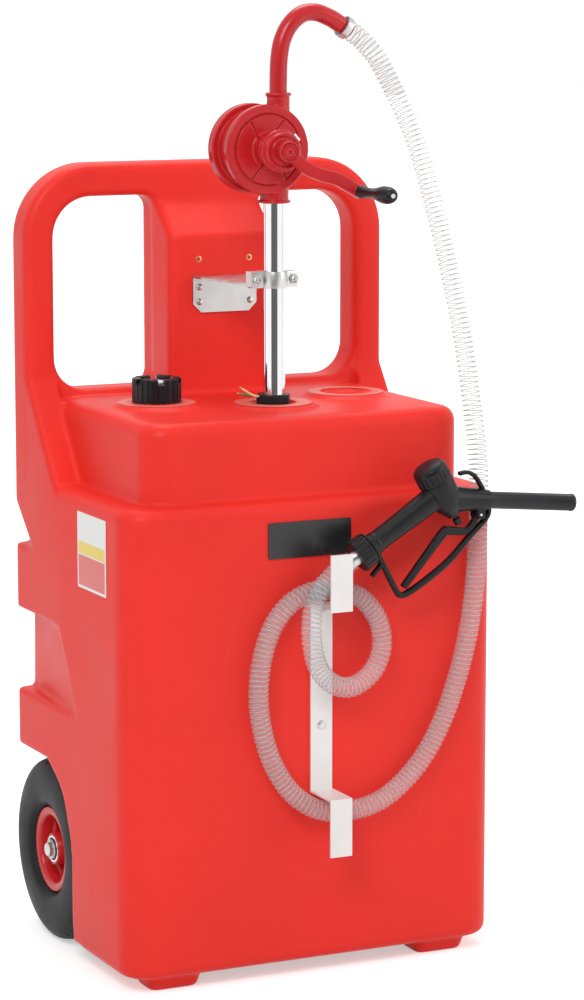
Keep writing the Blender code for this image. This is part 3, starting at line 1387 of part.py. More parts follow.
def nozzle_body():
    head = [
        (0, -NECK_TOP),
        (NECK_RADIUS, -NECK_TOP),
        (NECK_RADIUS, -HEAD_TOP),
        (HEAD_RADIUS, -HEAD_TOP),
        (HEAD_RADIUS, -HEAD_TOP / 2),
        (HEAD_LOW_RADIUS, HEAD_LOW),
        (HUB_LOW_RADIUS * 1.5, HUB_LOW * 0.8),
        (HUB_LOW_RADIUS, HUB_LOW),
        (0, HUB_LOW),
    ]
    body = new_object("nozzle_body", turned(head, HEAD_SIDES), black_plastic(), valve_axis())
    span = (Vector(HANDLE_END) - Vector(HANDLE_START)).length
    handle = [
        (0, -NUT_REAR / 2 - NUT_FRONT / 2),
        (TAIL_RADIUS + NUT_WALL, -NUT_REAR / 2 - NUT_FRONT / 2),
        (TAIL_RADIUS + NUT_WALL, -NUT_FRONT + GAP),
        (FLANGE_RADIUS, -NUT_FRONT + GAP),
        (FLANGE_RADIUS, -NUT_FRONT + TAIL_FLANGE),
        (HANDLE_RADIUS, -NUT_FRONT + 2 * TAIL_FLANGE),
        (HANDLE_RADIUS, span / 3),
        (HANDLE_WIDE, span),
        (0, span),
    ]
    join(body, new_object("handle", turned(handle, 14), black_plastic(), handle_axis()))
    snout_path = smooth_path(in_plane((SNOUT_START, SNOUT_END)), 2)
    radii = [HEAD_LOW_RADIUS * 0.85, SNOUT_RADIUS * 1.15, SNOUT_RADIUS]
    join(body, new_object("snout", swept(snout_path, radii, radii, (0, 1, 0), 14), black_plastic()))
    guard = swept(in_plane(GUARD_POINTS), GUARD_HALF, GUARD_DEPTH, (0, 1, 0))
    fin = swept(in_plane(FIN_POINTS), FIN_HALF, FIN_DEPTH, (0, 1, 0))
    join(body, new_object("guard", guard, black_plastic()), new_object("hook_fin", fin, black_plastic()))
    pivot = TRIGGER_POINTS[0]
    lug_low = pivot[1] - LUG_HALF
    lug = rounded_box((pivot[0] - LUG_HALF, lug_low), (pivot[0] + LUG_HALF, SNOUT_END[1]), 0, 1)
    solid = skin([[(x, NOZZLE_Y + y, z) for x, z in lug] for y in (-LUG_DEPTH, LUG_DEPTH)])
    join(body, new_object("trigger_lug", solid, black_plastic()))
    slot_top = pivot[1] + TRIGGER_HALF[0] + 2 * GAP
    wide = LUG_HALF * 2
    slot = rounded_box((pivot[0] - wide, lug_low - 2 * GAP), (pivot[0] + LUG_HALF + 2 * GAP, slot_top), 0, 1)
    depth = TRIGGER_DEPTH + GAP
    gap = skin([[(x, NOZZLE_Y + y, z) for x, z in slot] for y in (-depth, depth)])
    cut(body, new_object("trigger_slot", gap, black_plastic()))
    hole = rod(TRIGGER_PIN + GAP, -OVERRUN, OVERRUN, 10)
    cut(body, new_object("pin_hole", hole, black_plastic(), at(pivot[0], NOZZLE_Y, pivot[1]) @ TO_FRONT))
    nozzle_bores(body, span)


def nozzle_bores(body, span):
    seat = facing(SNOUT_END[0], NOZZLE_Y, SNOUT_END[1], spout_ahead(), (0, 1, 0))
    spout_hole = rod(NOZZLE_SPOUT_RADIUS + GAP, -SPOUT_SEAT, OVERRUN, 16)
    cut(body, new_object("spout_seat", spout_hole, black_plastic(), seat))
    reach = (Vector(SNOUT_END) - Vector(VALVE_CENTRE)).length
    cut(body, new_object("spout_passage", rod(PASSAGE, -reach, 0, 12), black_plastic(), seat))
    tail = rod(PASSAGE, -NUT_REAR, span, 12)
    cut(body, new_object("handle_passage", tail, black_plastic(), handle_axis()))
    valve = rod(VALVE_BORE, -NECK_TOP - OVERRUN, VALVE_BORE_LOW, 16)
    cut(body, new_object("valve_bore", valve, black_plastic(), valve_axis()))
    stem = rod(STEM_RADIUS + GAP, 0, HUB_LOW + OVERRUN, 10)
    cut(body, new_object("stem_hole", stem, black_plastic(), valve_axis()))


def spout_ahead():
    return Vector((SPOUT_TIP[0] - SNOUT_END[0], 0, SPOUT_TIP[1] - SNOUT_END[1])).normalized()


def nozzle_pieces():
    seat = facing(SNOUT_END[0], NOZZLE_Y, SNOUT_END[1], spout_ahead(), (0, 1, 0))
    length = (Vector(SPOUT_TIP) - Vector(SNOUT_END)).length
    spout = sleeve(NOZZLE_SPOUT_RADIUS - NOZZLE_SPOUT_WALL, NOZZLE_SPOUT_RADIUS, -SPOUT_SEAT + GAP, length, 18)
    new_object("nozzle_spout", spout, material("spout_black", (0.035, 0.036, 0.038), 0.4), seat)
    outline = lobed(NUT_RADIUS, NUT_NOTCH, NUT_LOBES)
    nut = new_object("swivel_nut", prism(outline, -NUT_REAR, -NUT_FRONT - GAP), black_plastic(), handle_axis())
    hollow = rod(NUT_BORE, -NUT_REAR + NUT_WALL, OVERRUN, 16)
    throat = rod(TAIL_RADIUS + GAP, -NUT_REAR - OVERRUN, 0, 16)
    cut(nut, new_object("nut_hollow", hollow, black_plastic(), handle_axis()))
    cut(nut, new_object("nut_throat", throat, black_plastic(), handle_axis()))
    low = -NUT_REAR + NUT_WALL + GAP
    wall = TAIL_RADIUS - TAIL_WALL
    flange = NUT_BORE - 2 * GAP
    profile = [
        (wall, -TAIL_END),
        (TAIL_RADIUS, -TAIL_END),
        (TAIL_RADIUS, low),
        (flange, low),
        (flange, low + TAIL_FLANGE),
        (wall, low + TAIL_FLANGE),
    ]
    new_object("hose_tail", turned(profile, 16), zinc(), handle_axis())
    cap_low = -HEAD_TOP - GAP
    cap_top = cap_low - CAP_LENGTH
    edge = NUT_NOTCH
    layers = [(cap_low, 0), (cap_top + edge, 0), (cap_top, edge)]
    cap = new_object("valve_cap", layered(lobed(VALVE_CAP_RADIUS, NUT_NOTCH / 2, 12), layers), black_plastic(), valve_axis())
    inside = rod(NECK_RADIUS + GAP, -NECK_TOP - GAP, OVERRUN, HEAD_SIDES)
    cut(cap, new_object("cap_inside", inside, black_plastic(), valve_axis()))


def trigger_pieces():
    pivot = TRIGGER_POINTS[0]
    path = in_plane(TRIGGER_POINTS)
    trigger = new_object("trigger", swept(path, TRIGGER_HALF, TRIGGER_DEPTH, (0, 1, 0)), black_plastic())
    set_origin(trigger, (pivot[0], NOZZLE_Y, pivot[1]))
    place = at(pivot[0], NOZZLE_Y, pivot[1]) @ TO_FRONT
    eye = rod(TRIGGER_HALF[0], -TRIGGER_DEPTH, TRIGGER_DEPTH, 14)
    join(trigger, new_object("trigger_eye", eye, black_plastic(), place))
    cut(trigger, new_object("trigger_hole", rod(TRIGGER_PIN + GAP, -OVERRUN, OVERRUN, 10), black_plastic(), place))
    new_object("trigger_pin", rod(TRIGGER_PIN, -LUG_DEPTH, LUG_DEPTH, 10), zinc(), place)
    stem = [
        (0, STEM_TOP),
        (STEM_RADIUS, STEM_TOP),
        (STEM_RADIUS, POPPET_LOW - POPPET_THICK),
        (POPPET_RADIUS, POPPET_LOW - POPPET_THICK),
        (POPPET_RADIUS, POPPET_LOW),
        (STEM_RADIUS, POPPET_LOW),
        (STEM_RADIUS, STEM_BOOT_START),
        (STEM_BOOT, STEM_BOOT_START),
        (STEM_BOOT, STEM_END - STEM_BOOT / 4),
        (STEM_BOOT / 2, STEM_END),
        (0, STEM_END),
    ]
    new_object("valve_stem", turned(stem, 10), zinc(), valve_axis())
    low = POPPET_LOW - POPPET_THICK - SPRING_WIRE - GAP
    count = SPRING_TURNS * 8
    coil = []
    for i in range(count + 1):
        turn = 2 * math.pi * i / 8
        z = low + (SPRING_TOP - low) * i / count
        coil.append((SPRING_RADIUS * math.cos(turn), SPRING_RADIUS * math.sin(turn), z))
    wire = carried_rings([Vector(p) for p in coil], [SPRING_WIRE] * len(coil), 4)
    new_object("valve_spring", skin(wire), zinc(), valve_axis())


# Hose cleat and the bare plate
CLEAT_X = 0.0045
CLEAT_HALF = 0.016
CLEAT_THICK = 0.003
CLEAT_FLAP_FRONT = -0.3853
PLATE_LEFT = -0.074
PLATE_RIGHT = 0.049
PLATE_DROP = 0.028
PLATE_TALL = 0.049
PLATE_HIGH = SHOULDER_Z - PLATE_DROP
PLATE_LOW = PLATE_HIGH - PLATE_TALL
PLATE_THICK = 0.0015
CLEAT_ROOM = 0.064
CLEAT_HOOK = 0.0745
CLEAT_SPAN = 0.259
CLEAT_TAB = 0.080
CLEAT_LEDGE = PLATE_LOW - CLEAT_ROOM
CLEAT_FLAP_TOP = CLEAT_LEDGE + CLEAT_HOOK
CLEAT_LOW_LEDGE = CLEAT_LEDGE - CLEAT_SPAN
CLEAT_FLAP_LOW = CLEAT_LOW_LEDGE - CLEAT_TAB
RIVET_RISE = 0.090
RIVET_Z = CLEAT_LOW_LEDGE + RIVET_RISE
RIVET_RADIUS = 0.003
RIVET_HEAD = 0.006
RIVET_THICK = 0.002


def hose_cleat():
    rear = TANK_FRONT - GAP
    strip = rear - CLEAT_THICK
    flap = CLEAT_FLAP_FRONT
    inner = flap + CLEAT_THICK
    outline = [
        (flap, CLEAT_FLAP_TOP),
        (flap, CLEAT_LEDGE - CLEAT_THICK),
        (strip, CLEAT_LEDGE - CLEAT_THICK),
        (strip, CLEAT_LOW_LEDGE),
        (flap, CLEAT_LOW_LEDGE),
        (flap, CLEAT_FLAP_LOW),
        (inner, CLEAT_FLAP_LOW),
        (inner, CLEAT_LOW_LEDGE - CLEAT_THICK),
        (rear, CLEAT_LOW_LEDGE - CLEAT_THICK),
        (rear, CLEAT_LEDGE),
        (inner, CLEAT_LEDGE),
        (inner, CLEAT_FLAP_TOP),
    ]
    bm = skin([[(x, y, z) for y, z in outline] for x in (CLEAT_X - CLEAT_HALF, CLEAT_X + CLEAT_HALF)])
    cleat = new_object("hose_cleat", bm, cream_paint())
    place = at(CLEAT_X, strip, RIVET_Z) @ TO_FRONT
    cut(cleat, new_object("cleat_hole", rod(RIVET_RADIUS + GAP, -OVERRUN, OVERRUN, 8), cream_paint(), place))
    shank = CLEAT_THICK + TANK_WALL
    profile = [(0, -shank), (RIVET_RADIUS, -shank), (RIVET_RADIUS, GAP), (RIVET_HEAD, GAP), (RIVET_HEAD / 2, RIVET_THICK), (0, RIVET_THICK)]
    new_object("cleat_rivet", turned(profile, 8), cream_paint(), place)


def brand_plate():
    rear = TANK_FRONT - GAP
    line = rounded_box((PLATE_LEFT, PLATE_LOW), (PLATE_RIGHT, PLATE_HIGH), PLATE_THICK, 1)
    bm = skin([[(x, y, z) for x, z in line] for y in (rear, rear - PLATE_THICK)])
    new_object("brand_plate", bm, black_plastic())


def stand_on_origin():
    """Move everything so that the origin is under the middle of all but the hose and its clamp."""
    bpy.context.view_layer.update()
    graph = bpy.context.evaluated_depsgraph_get()
    low = Vector((math.inf, math.inf, math.inf))
    high = -low
    for item in bpy.data.objects:
        if item.hide_render or item.name in ("delivery_hose", "hose_clamp"):
            continue
        shaped = item.evaluated_get(graph)
        mesh = shaped.to_mesh()
        for vertex in mesh.vertices:
            point = shaped.matrix_world @ vertex.co
            low = Vector(map(min, low, point))
            high = Vector(map(max, high, point))
        shaped.to_mesh_clear()
    middle = (low + high) / 2
    shift = Vector((middle.x, middle.y, low.z))
    for item in bpy.data.objects:
        if not item.parent:
            item.location -= shift
    print("origin at", tuple(round(c, 5) for c in shift))


def build():
    clear_scene()
    tank_shell()
    filler_cap()
    pump_bung()
    earth_wires()
    inserts()
    for side, word in ((-1, "left"), (1, "right")):
        wheel(side, word)
    wheel_axle()
    pump_bracket()
    clamp_strap()
    bracket_screws()
    pump_body()
    pump_inside()
    pump_shaft()
    crank()
    suction_tube()
    spout_pipe()
    delivery_hose()
    hose_clamp()
    nozzle_body()
    nozzle_pieces()
    trigger_pieces()
    hose_cleat()
    brand_plate()
    stand_on_origin()


build()
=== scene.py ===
import json
import math

import bmesh
import bpy
from mathutils import Matrix, Vector

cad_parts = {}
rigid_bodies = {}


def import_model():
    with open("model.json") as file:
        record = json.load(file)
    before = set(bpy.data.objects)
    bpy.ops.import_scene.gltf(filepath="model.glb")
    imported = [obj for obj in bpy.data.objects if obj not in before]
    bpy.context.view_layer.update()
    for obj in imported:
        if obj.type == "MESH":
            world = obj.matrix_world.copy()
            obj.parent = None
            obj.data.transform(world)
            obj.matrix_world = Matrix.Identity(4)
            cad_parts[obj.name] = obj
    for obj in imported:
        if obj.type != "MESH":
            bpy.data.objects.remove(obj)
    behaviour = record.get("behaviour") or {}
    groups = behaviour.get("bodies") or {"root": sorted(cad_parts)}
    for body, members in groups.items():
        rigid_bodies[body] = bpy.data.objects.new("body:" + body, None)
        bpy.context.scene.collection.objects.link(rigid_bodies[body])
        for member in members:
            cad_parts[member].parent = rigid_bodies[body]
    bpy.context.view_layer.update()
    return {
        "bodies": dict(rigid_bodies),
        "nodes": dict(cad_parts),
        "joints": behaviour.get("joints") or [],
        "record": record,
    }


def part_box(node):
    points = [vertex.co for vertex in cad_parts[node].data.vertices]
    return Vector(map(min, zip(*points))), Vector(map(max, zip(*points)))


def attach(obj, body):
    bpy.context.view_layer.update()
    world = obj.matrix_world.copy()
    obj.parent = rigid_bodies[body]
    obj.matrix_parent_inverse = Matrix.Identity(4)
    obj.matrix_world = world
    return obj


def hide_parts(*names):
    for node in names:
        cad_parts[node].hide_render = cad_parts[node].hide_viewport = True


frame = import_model()


# The frame's places: the tank's middle plane, the axle and the ground
TANK_LOW, TANK_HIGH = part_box("tank_shell")
TYRE_LOW, TYRE_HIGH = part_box("tyre_left")
ORIGIN = Vector(((TANK_LOW[0] + TANK_HIGH[0]) / 2, (TYRE_LOW[1] + TYRE_HIGH[1]) / 2, 0))

# Sizes in metres, from the tank's middle, the axle and the ground
GAP = 0.0003
TANK_HALF = 0.2786
TANK_FRONT = -0.3203
TANK_REAR = 0.095
TANK_BOTTOM = 0.0205
TANK_CORNER = 0.043
REAR_CORNER = 0.014
BOTTOM_ROUND = 0.014
SHOULDER_Z = 0.661
SHOULDER_ROUND = 0.018
DOME_HALF = 0.2375
DOME_FRONT = -0.295
DOME_REAR = 0.05
DOME_ROOT_Z = 0.6
DOME_CORNER = 0.04
DOME_ROUND = 0.02
DECK_Z = 0.77
FRAME_FRONT = 0.035
FRAME_TOP = 1.097
FRAME_COLUMN = 0.045
FRAME_CORNER = 0.105
FRAME_ROUND = 0.012
WINDOW_LOW = 0.78
WINDOW_HIGH = 1.05
WINDOW_CORNER = 0.057
WINDOW_LOW_CORNER = 0.02
WINDOW_OUTER_CORNER = 0.045
GUSSET_TOP = 0.796
GUSSET_FRONT = -0.066
GUSSET_LOW = 0.657
BLOCK_HALF = 0.08
BLOCK_FRONT = -0.0174
BLOCK_BEND_Z = 0.995
BLOCK_TOP_Z = 1.048
BLOCK_CORNER = 0.016
BLOCK_TOP_FRONT = 0.04
BOSS_RADIUS = 0.0575
BOSS_HEIGHT = 0.006
BOSS_X = 0.145
BOSS_Y = -0.112
BLIND_RADIUS = 0.034
BLIND_DEPTH = 0.0065
FOOT_X = 0.203
FOOT_Y = -0.272
FOOT_HALF_X = 0.036
FOOT_HALF_Y = 0.026
FOOT_FLARE = 0.009
FOOT_CORNER = 0.012
FOOT_SINK = 0.008
POCKET_DEPTH = 0.028
POCKET_STEP = 0.003
LOW_POCKET_TOP = 0.4665
LOW_POCKET_BOTTOM = 0.35
LOW_POCKET_TOP_Y = -0.07
LOW_POCKET_BOTTOM_Y = -0.137
HIGH_POCKET_TOP = 0.652
HIGH_POCKET_BOTTOM = 0.56
HIGH_POCKET_Y = 0.02
WHEEL_RADIUS = 0.13
WHEEL_WIDTH = 0.07
WHEEL_OUTER_X = 0.2735
WHEEL_ROOM = 0.006
WHEEL_INNER_ROOM = 0.008
ARCH_LIP = 0.0042
TUBE_Y = -0.184
TUBE_RADIUS = 0.015
PUMP_X = -0.018
PUMP_Z = 1.1234
PUMP_REAR = -0.139
PUMP_BOSS_Y = -0.18
CUT_OVER = 0.02
TO_FRONT = Matrix(((1, 0, 0, 0), (0, 0, -1, 0), (0, 1, 0, 0), (0, 0, 0, 1)))
ALONG_X = Matrix(((0, 0, 1, 0), (1, 0, 0, 0), (0, 1, 0, 0), (0, 0, 0, 1)))


# Shapes
BACK = (0, 1, 0)


def skin(rings, closed_ends=True):
    """A bmesh over rings of points; a ring of one point is a tip."""
    bm = bmesh.new()
    loops = [[bm.verts.new(point) for point in ring] for ring in rings]
    for low, high in zip(loops, loops[1:]):
        count = max(len(low), len(high))
        for i in range(count):
            k = (i + 1) % count
            if len(low) == 1:
                corners = (low[0], high[k], high[i])
            elif len(high) == 1:
                corners = (low[i], low[k], high[0])
            else:
                corners = (low[i], low[k], high[k], high[i])
            bm.faces.new(corners)
    if closed_ends:
        for ring in (loops[0], loops[-1]):
            if len(ring) > 2:
                bm.faces.new(ring)
    return bm


def turned(profile, sides=64):
    """A solid turned round Z from (radius, z) pairs; a profile off the axis is closed on itself."""
    turns = [2 * math.pi * i / sides for i in range(sides)]
    rings = []
    for radius, z in profile:
        if radius > 0:
            rings.append([(radius * math.cos(t), radius * math.sin(t), z) for t in turns])
        else:
            rings.append([(0, 0, z)])
    on_axis = profile[0][0] <= 0
    return skin(rings if on_axis else [*rings, rings[0]], on_axis)


def arc(centre, radius, start, end, steps):
    """Points of an arc; angles in degrees."""
    angles = [math.radians(start + (end - start) * i / steps) for i in range(steps + 1)]
    return [(centre[0] + radius * math.cos(a), centre[1] + radius * math.sin(a)) for a in angles]


def rod(radius, low, high, edge=0, bore=0):
    """The profile of a cylinder or a ring, with the edge cut off its outer rims."""
    if not edge:
        return [(bore, low), (radius, low), (radius, high), (bore, high)]
    inner = radius - edge
    return [
        (bore, low), (inner, low), (radius, low + edge), (radius, high - edge), (inner, high), (bore, high),
    ]


def from_level(level, pairs):
    """A profile whose heights are counted from a level."""
    return [(radius, level + rise) for radius, rise in pairs]


def each(value, count):
    """A list as it is, or one number for every place."""
    return value if isinstance(value, (list, tuple)) else [value] * count


def rounded(corners, radii, steps=8):
    """An outline whose corners are rounded; a radius of zero keeps the corner."""
    made = []
    count = len(corners)
    for i, radius in enumerate(each(radii, count)):
        here = Vector(corners[i])
        if radius <= 0:
            made.append(tuple(here))
            continue
        before = (Vector(corners[i - 1]) - here).normalized()
        after = (Vector(corners[(i + 1) % count]) - here).normalized()
        half = before.angle(after) / 2
        middle = here + (before + after).normalized() * radius / math.sin(half)
        first = here + before * radius / math.tan(half) - middle
        last = here + after * radius / math.tan(half) - middle
        sweep = math.atan2(first.x * last.y - first.y * last.x, first.dot(last))
        made += [tuple(middle + Matrix.Rotation(sweep * k / steps, 2) @ first) for k in range(steps + 1)]
    return made


def box_line(low, high, radius=0, steps=8):
    """A rounded rectangle between two corners, anticlockwise."""
    return rounded([low, (high[0], low[1]), high, (low[0], high[1])], radius, steps)


def moved_in(outline, inset):
    """The outline with every side moved inwards by the inset."""
    points = [Vector(p) for p in outline]
    count = len(points)
    turns = sum(points[i - 1].x * points[i].y - points[i].x * points[i - 1].y for i in range(count))
    side = inset * math.copysign(1, turns)
    made = []
    for i, here in enumerate(points):
        before = (here - points[i - 1]).normalized()
        after = (points[(i + 1) % count] - here).normalized()
        first = Vector((-before.y, before.x))
        middle = (first + Vector((-after.y, after.x))).normalized()
        made.append(tuple(here + middle * side / max(middle.dot(first), 0.3)))
    return made


def layered(outline, layers):
    """A solid standing on an outline; each layer is (height, inset)."""
    return skin([[(x, y, z) for x, y in moved_in(outline, inset)] for z, inset in layers])


def upright(outline, layers):
    """A solid on an outline in X and Z; each layer is (y, inset)."""
    return skin([[(x, y, z) for x, z in moved_in(outline, inset)] for y, inset in layers])


def hexagon(reach, radius, steps):
    """A six-sided outline with rounded corners."""
    turns = [math.pi * i / 3 for i in range(6)]
    return rounded([(reach * math.cos(t), reach * math.sin(t)) for t in turns], radius, steps)


def round_over(edge, steps):
    """Points of a rounded edge: how far each lies below the face and inside the wall."""
    turns = [math.pi / 2 * i / steps for i in range(steps + 1)]
    return [(edge * (1 - math.sin(t)), edge * (1 - math.cos(t))) for t in turns]


def eased(low, high, edge):
    """Layers of a solid whose two faces have rounded edges."""
    points = round_over(edge, 4)
    first = [(low + drop, inset) for drop, inset in reversed(points)]
    return [*first, *[(high - drop, inset) for drop, inset in points]]


def headings(points):
    """The direction of a path at each of its points."""
    last = len(points) - 1
    return [(points[min(i + 1, last)] - points[max(i - 1, 0)]).normalized() for i in range(last + 1)]


def swept(path, half_width, half_depth, sides=16, edge=0.5):
    """A bar along a path whose section runs from a flat bar with soft edges to a round one."""
    count = len(path)
    points = [Vector(p) for p in path]
    rings = []
    for here, ahead, half, thick in zip(
        points, headings(points), each(half_width, count), each(half_depth, count),
    ):
        depth = (Vector(BACK) - ahead * ahead.dot(Vector(BACK))).normalized()
        width = depth.cross(ahead)
        ring = []
        for k in range(sides):
            turn = 2 * math.pi * (k + 0.5) / sides
            u = math.copysign(abs(math.cos(turn)) ** edge, math.cos(turn))
            v = math.copysign(abs(math.sin(turn)) ** edge, math.sin(turn))
            ring.append(here + width * half * u + depth * thick * v)
        rings.append(ring)
    return skin(rings)


def smooth_path(points, steps):
    """Points on a smooth curve through the given points."""
    known = [Vector(p) for p in points]
    ends = [2 * known[0] - known[1], *known, 2 * known[-1] - known[-2]]
    made = []
    for a, b, c, d in zip(ends, ends[1:], ends[2:], ends[3:]):
        for k in range(steps):
            t = k / steps
            bend = (2 * a - 5 * b + 4 * c - d) * t * t + (3 * b - a - 3 * c + d) * t**3
            made.append(0.5 * (2 * b + (c - a) * t + bend))
    return [*made, known[-1]]


def at(x, y, z):
    return Matrix.Translation((x, y, z))


# Objects
def solid(name, bm, place=Matrix.Identity(4)):
    bmesh.ops.remove_doubles(bm, verts=bm.verts, dist=0.000001)
    bmesh.ops.recalc_face_normals(bm, faces=bm.faces)
    mesh = bpy.data.meshes.new(name)
    bm.to_mesh(mesh)
    bm.free()
    made = bpy.data.objects.new(name, mesh)
    made.matrix_world = at(*ORIGIN) @ place
    bpy.context.scene.collection.objects.link(made)
    return made


def applied(target, helpers=()):
    """The object with its modifiers applied and its helpers removed."""
    graph = bpy.context.evaluated_depsgraph_get()
    mesh = bpy.data.meshes.new_from_object(target.evaluated_get(graph))
    target.modifiers.clear()
    target.data = mesh
    for other in helpers:
        bpy.data.objects.remove(other, do_unlink=True)
    return target


def spun(place, turn):
    """The place turned round its own Z."""
    return place @ Matrix.Rotation(turn, 4, "Z")


def facing(x, y, z, ahead, up=BACK):
    """A place whose local Z points ahead."""
    axis = Vector(ahead).normalized()
    side = Vector(up).cross(axis).normalized()
    return at(x, y, z) @ Matrix((side, axis.cross(side), axis)).transposed().to_4x4()


def by_quality(full):
    return full


def plug(radius, low, high, place, sides=48):
    """A plain cylinder, most often one that cuts a hole."""
    return solid("plug", turned(rod(radius, low, high), sides), place)


def boolean(target, others, operation):
    for other in others:
        other.hide_render = True
        step = target.modifiers.new(other.name, "BOOLEAN")
        step.operation = operation
        step.object = other
        step.solver = "MANIFOLD"


def bevelled(target, width, segments, **settings):
    """A narrow bevel on every sharp edge."""
    ease = target.modifiers.new("edges", "BEVEL")
    ease.width = width
    ease.segments = segments
    ease.limit_method = "ANGLE"
    for name, value in settings.items():
        setattr(ease, name, value)


def moulded(name, solids, cutters, voxel, rounds, keep):
    """One soft-edged body: the solids joined, the cutters taken out, and every edge eased."""
    body, *others = solids
    body.name = name
    boolean(body, others, "UNION")
    boolean(body, cutters, "DIFFERENCE")
    grid = body.modifiers.new("grid", "REMESH")
    grid.mode = "VOXEL"
    grid.voxel_size = voxel
    ease = body.modifiers.new("ease", "SMOOTH")
    ease.factor = 0.5
    ease.iterations = rounds
    fewer = body.modifiers.new("fewer", "DECIMATE")
    fewer.ratio = keep
    return applied(body, [*others, *cutters])


def finished(made, finish, body, *nodes, slot=None, sharp=40):
    """Give a piece its material and its CAD body, and let it stand for its nodes."""
    made.data.materials.clear()
    made.data.materials.append(finish)
    made.data.shade_smooth()
    made.data.set_sharp_from_angle(angle=math.radians(sharp))
    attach(made, body)
    if nodes:
        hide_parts(*nodes)
    return made


def piece(name, bm, finish, body, *nodes, place=Matrix.Identity(4), slot=None, sharp=40):
    return finished(solid(name, bm, place), finish, body, *nodes, slot=slot, sharp=sharp)


# Materials
NOISE_LOW = 0.3
NOISE_HIGH = 0.7
GLOSS_LOW = 0.85
GLOSS_HIGH = 1.15
BUMP_STRENGTH = 0.5
SOCKETS = {"shine": "Specular IOR Level", "metal": "Metallic", "alpha": "Alpha"}


def noise(nodes, place, scale, detail):
    made = nodes.new("ShaderNodeTexNoise")
    made.inputs["Scale"].default_value = scale
    made.inputs["Detail"].default_value = detail
    nodes.id_data.links.new(place.outputs["Object"], made.inputs["Vector"])
    return made.outputs["Fac"]


def ranged(nodes, source, low, high, start=0, end=1):
    """Numbers from start to end, moved to the range from low to high."""
    made = nodes.new("ShaderNodeMapRange")
    for name, value in (("From Min", start), ("From Max", end), ("To Min", low), ("To Max", high)):
        made.inputs[name].default_value = value
    nodes.id_data.links.new(source, made.inputs["Value"])
    return made.outputs["Result"]


def combined(nodes, operation, *sources):
    made = nodes.new("ShaderNodeMath")
    made.operation = operation
    for socket, source in zip(made.inputs, sources):
        nodes.id_data.links.new(source, socket)
    return made.outputs["Value"]


def surface(name, colour, roughness, vary=0.07, patch=14, grain=420, bump=0.0002, **sockets):
    """A finish whose colour, gloss and fine relief vary over the surface."""
    made = bpy.data.materials.new(name)
    made.use_nodes = True
    nodes = made.node_tree.nodes
    links = made.node_tree.links
    shader = nodes["Principled BSDF"].inputs
    place = nodes.new("ShaderNodeTexCoord")
    patches = noise(nodes, place, patch, 4)
    grains = noise(nodes, place, grain, 3)
    tints = nodes.new("ShaderNodeValToRGB")
    ends = ((NOISE_LOW, 1 - vary), (NOISE_HIGH, 1 + vary))
    for element, (where, share) in zip(tints.color_ramp.elements, ends):
        element.position = where
        element.color = (*(min(c * share, 1) for c in colour), 1)
    links.new(patches, tints.inputs["Fac"])
    links.new(tints.outputs["Color"], shader["Base Color"])
    gloss = ranged(nodes, patches, roughness * GLOSS_LOW, roughness * GLOSS_HIGH, NOISE_LOW, NOISE_HIGH)
    links.new(gloss, shader["Roughness"])
    relief = nodes.new("ShaderNodeBump")
    relief.inputs["Distance"].default_value = bump
    relief.inputs["Strength"].default_value = BUMP_STRENGTH
    links.new(grains, relief.inputs["Height"])
    links.new(relief.outputs["Normal"], shader["Normal"])
    for socket, value in sockets.items():
        shader[SOCKETS[socket]].default_value = value
    return made


TANK_RED = surface(
    "tank_red", (0.8, 0.034, 0.025), 0.42, vary=0.04, patch=5, grain=300, bump=0.0003, shine=0.16,
)
ENAMEL = surface("pump_enamel", (0.5, 0.012, 0.016), 0.26, patch=20, grain=160, bump=0.0002, shine=0.35)
RIM_RED = surface("rim_enamel", (0.55, 0.014, 0.016), 0.28, patch=20, grain=160, bump=0.0002, shine=0.4)
BLACK = surface(
    "black_plastic", (0.0075, 0.0075, 0.0085), 0.36, vary=0.2, grain=500, bump=0.0003, shine=0.25,
)
SPOUT_BLACK = surface("spout_black", (0.016, 0.016, 0.018), 0.34, vary=0.2, grain=300, shine=0.3)
RUBBER = surface("tyre_rubber", (0.01, 0.01, 0.011), 0.55, vary=0.25, grain=500, bump=0.0004, shine=0.2)
# Dark rubber for the seals, also used as painted shade in the inserts' bores.
SEAL_AND_SHADE = surface("seal_rubber", (0.02, 0.02, 0.02), 0.6, vary=0.2)
CHROME = surface("chrome", (0.64, 0.64, 0.65), 0.07, vary=0.03, bump=0.00001, metal=1)
ZINC = surface("zinc", (0.55, 0.55, 0.54), 0.34, vary=0.1, patch=60, bump=0.0001, metal=1)
BRASS = surface("brass", (0.62, 0.42, 0.18), 0.32, vary=0.1, patch=60, metal=1)
CREAM_PAINT = surface(
    "cleat_paint", (0.8, 0.775, 0.76), 0.42, vary=0.03, patch=30, grain=260, bump=0.0002, shine=0.3,
)
PLATE = surface("plate_black", (0.012, 0.012, 0.013), 0.3, vary=0.2, patch=30)
WHITE = surface("label_white", (0.8, 0.8, 0.78), 0.4, vary=0.03)
HOSE = surface("hose_clear", (0.86, 0.85, 0.85), 0.12, vary=0.05, patch=8, grain=120, alpha=0.09)
HELIX = surface("hose_helix", (0.5, 0.47, 0.48), 0.3, vary=0.05)
CREAM_WIRE = surface("wire_cream", (0.72, 0.6, 0.34), 0.4, vary=0.06)
# Paler red for the rings on the bosses: a painted highlight.
BOSS_PAINTED_SHEEN = surface("boss_face", (0.8, 0.15, 0.12), 0.5, vary=0.05, patch=30)
BAND_YELLOW = surface("band_yellow", (0.8, 0.62, 0.1), 0.4, vary=0.03)
BAND_RED = surface("band_red", (0.72, 0.13, 0.12), 0.4, vary=0.04)
GREEN_WIRE = surface("wire_green", (0.05, 0.3, 0.07), 0.4, vary=0.1)


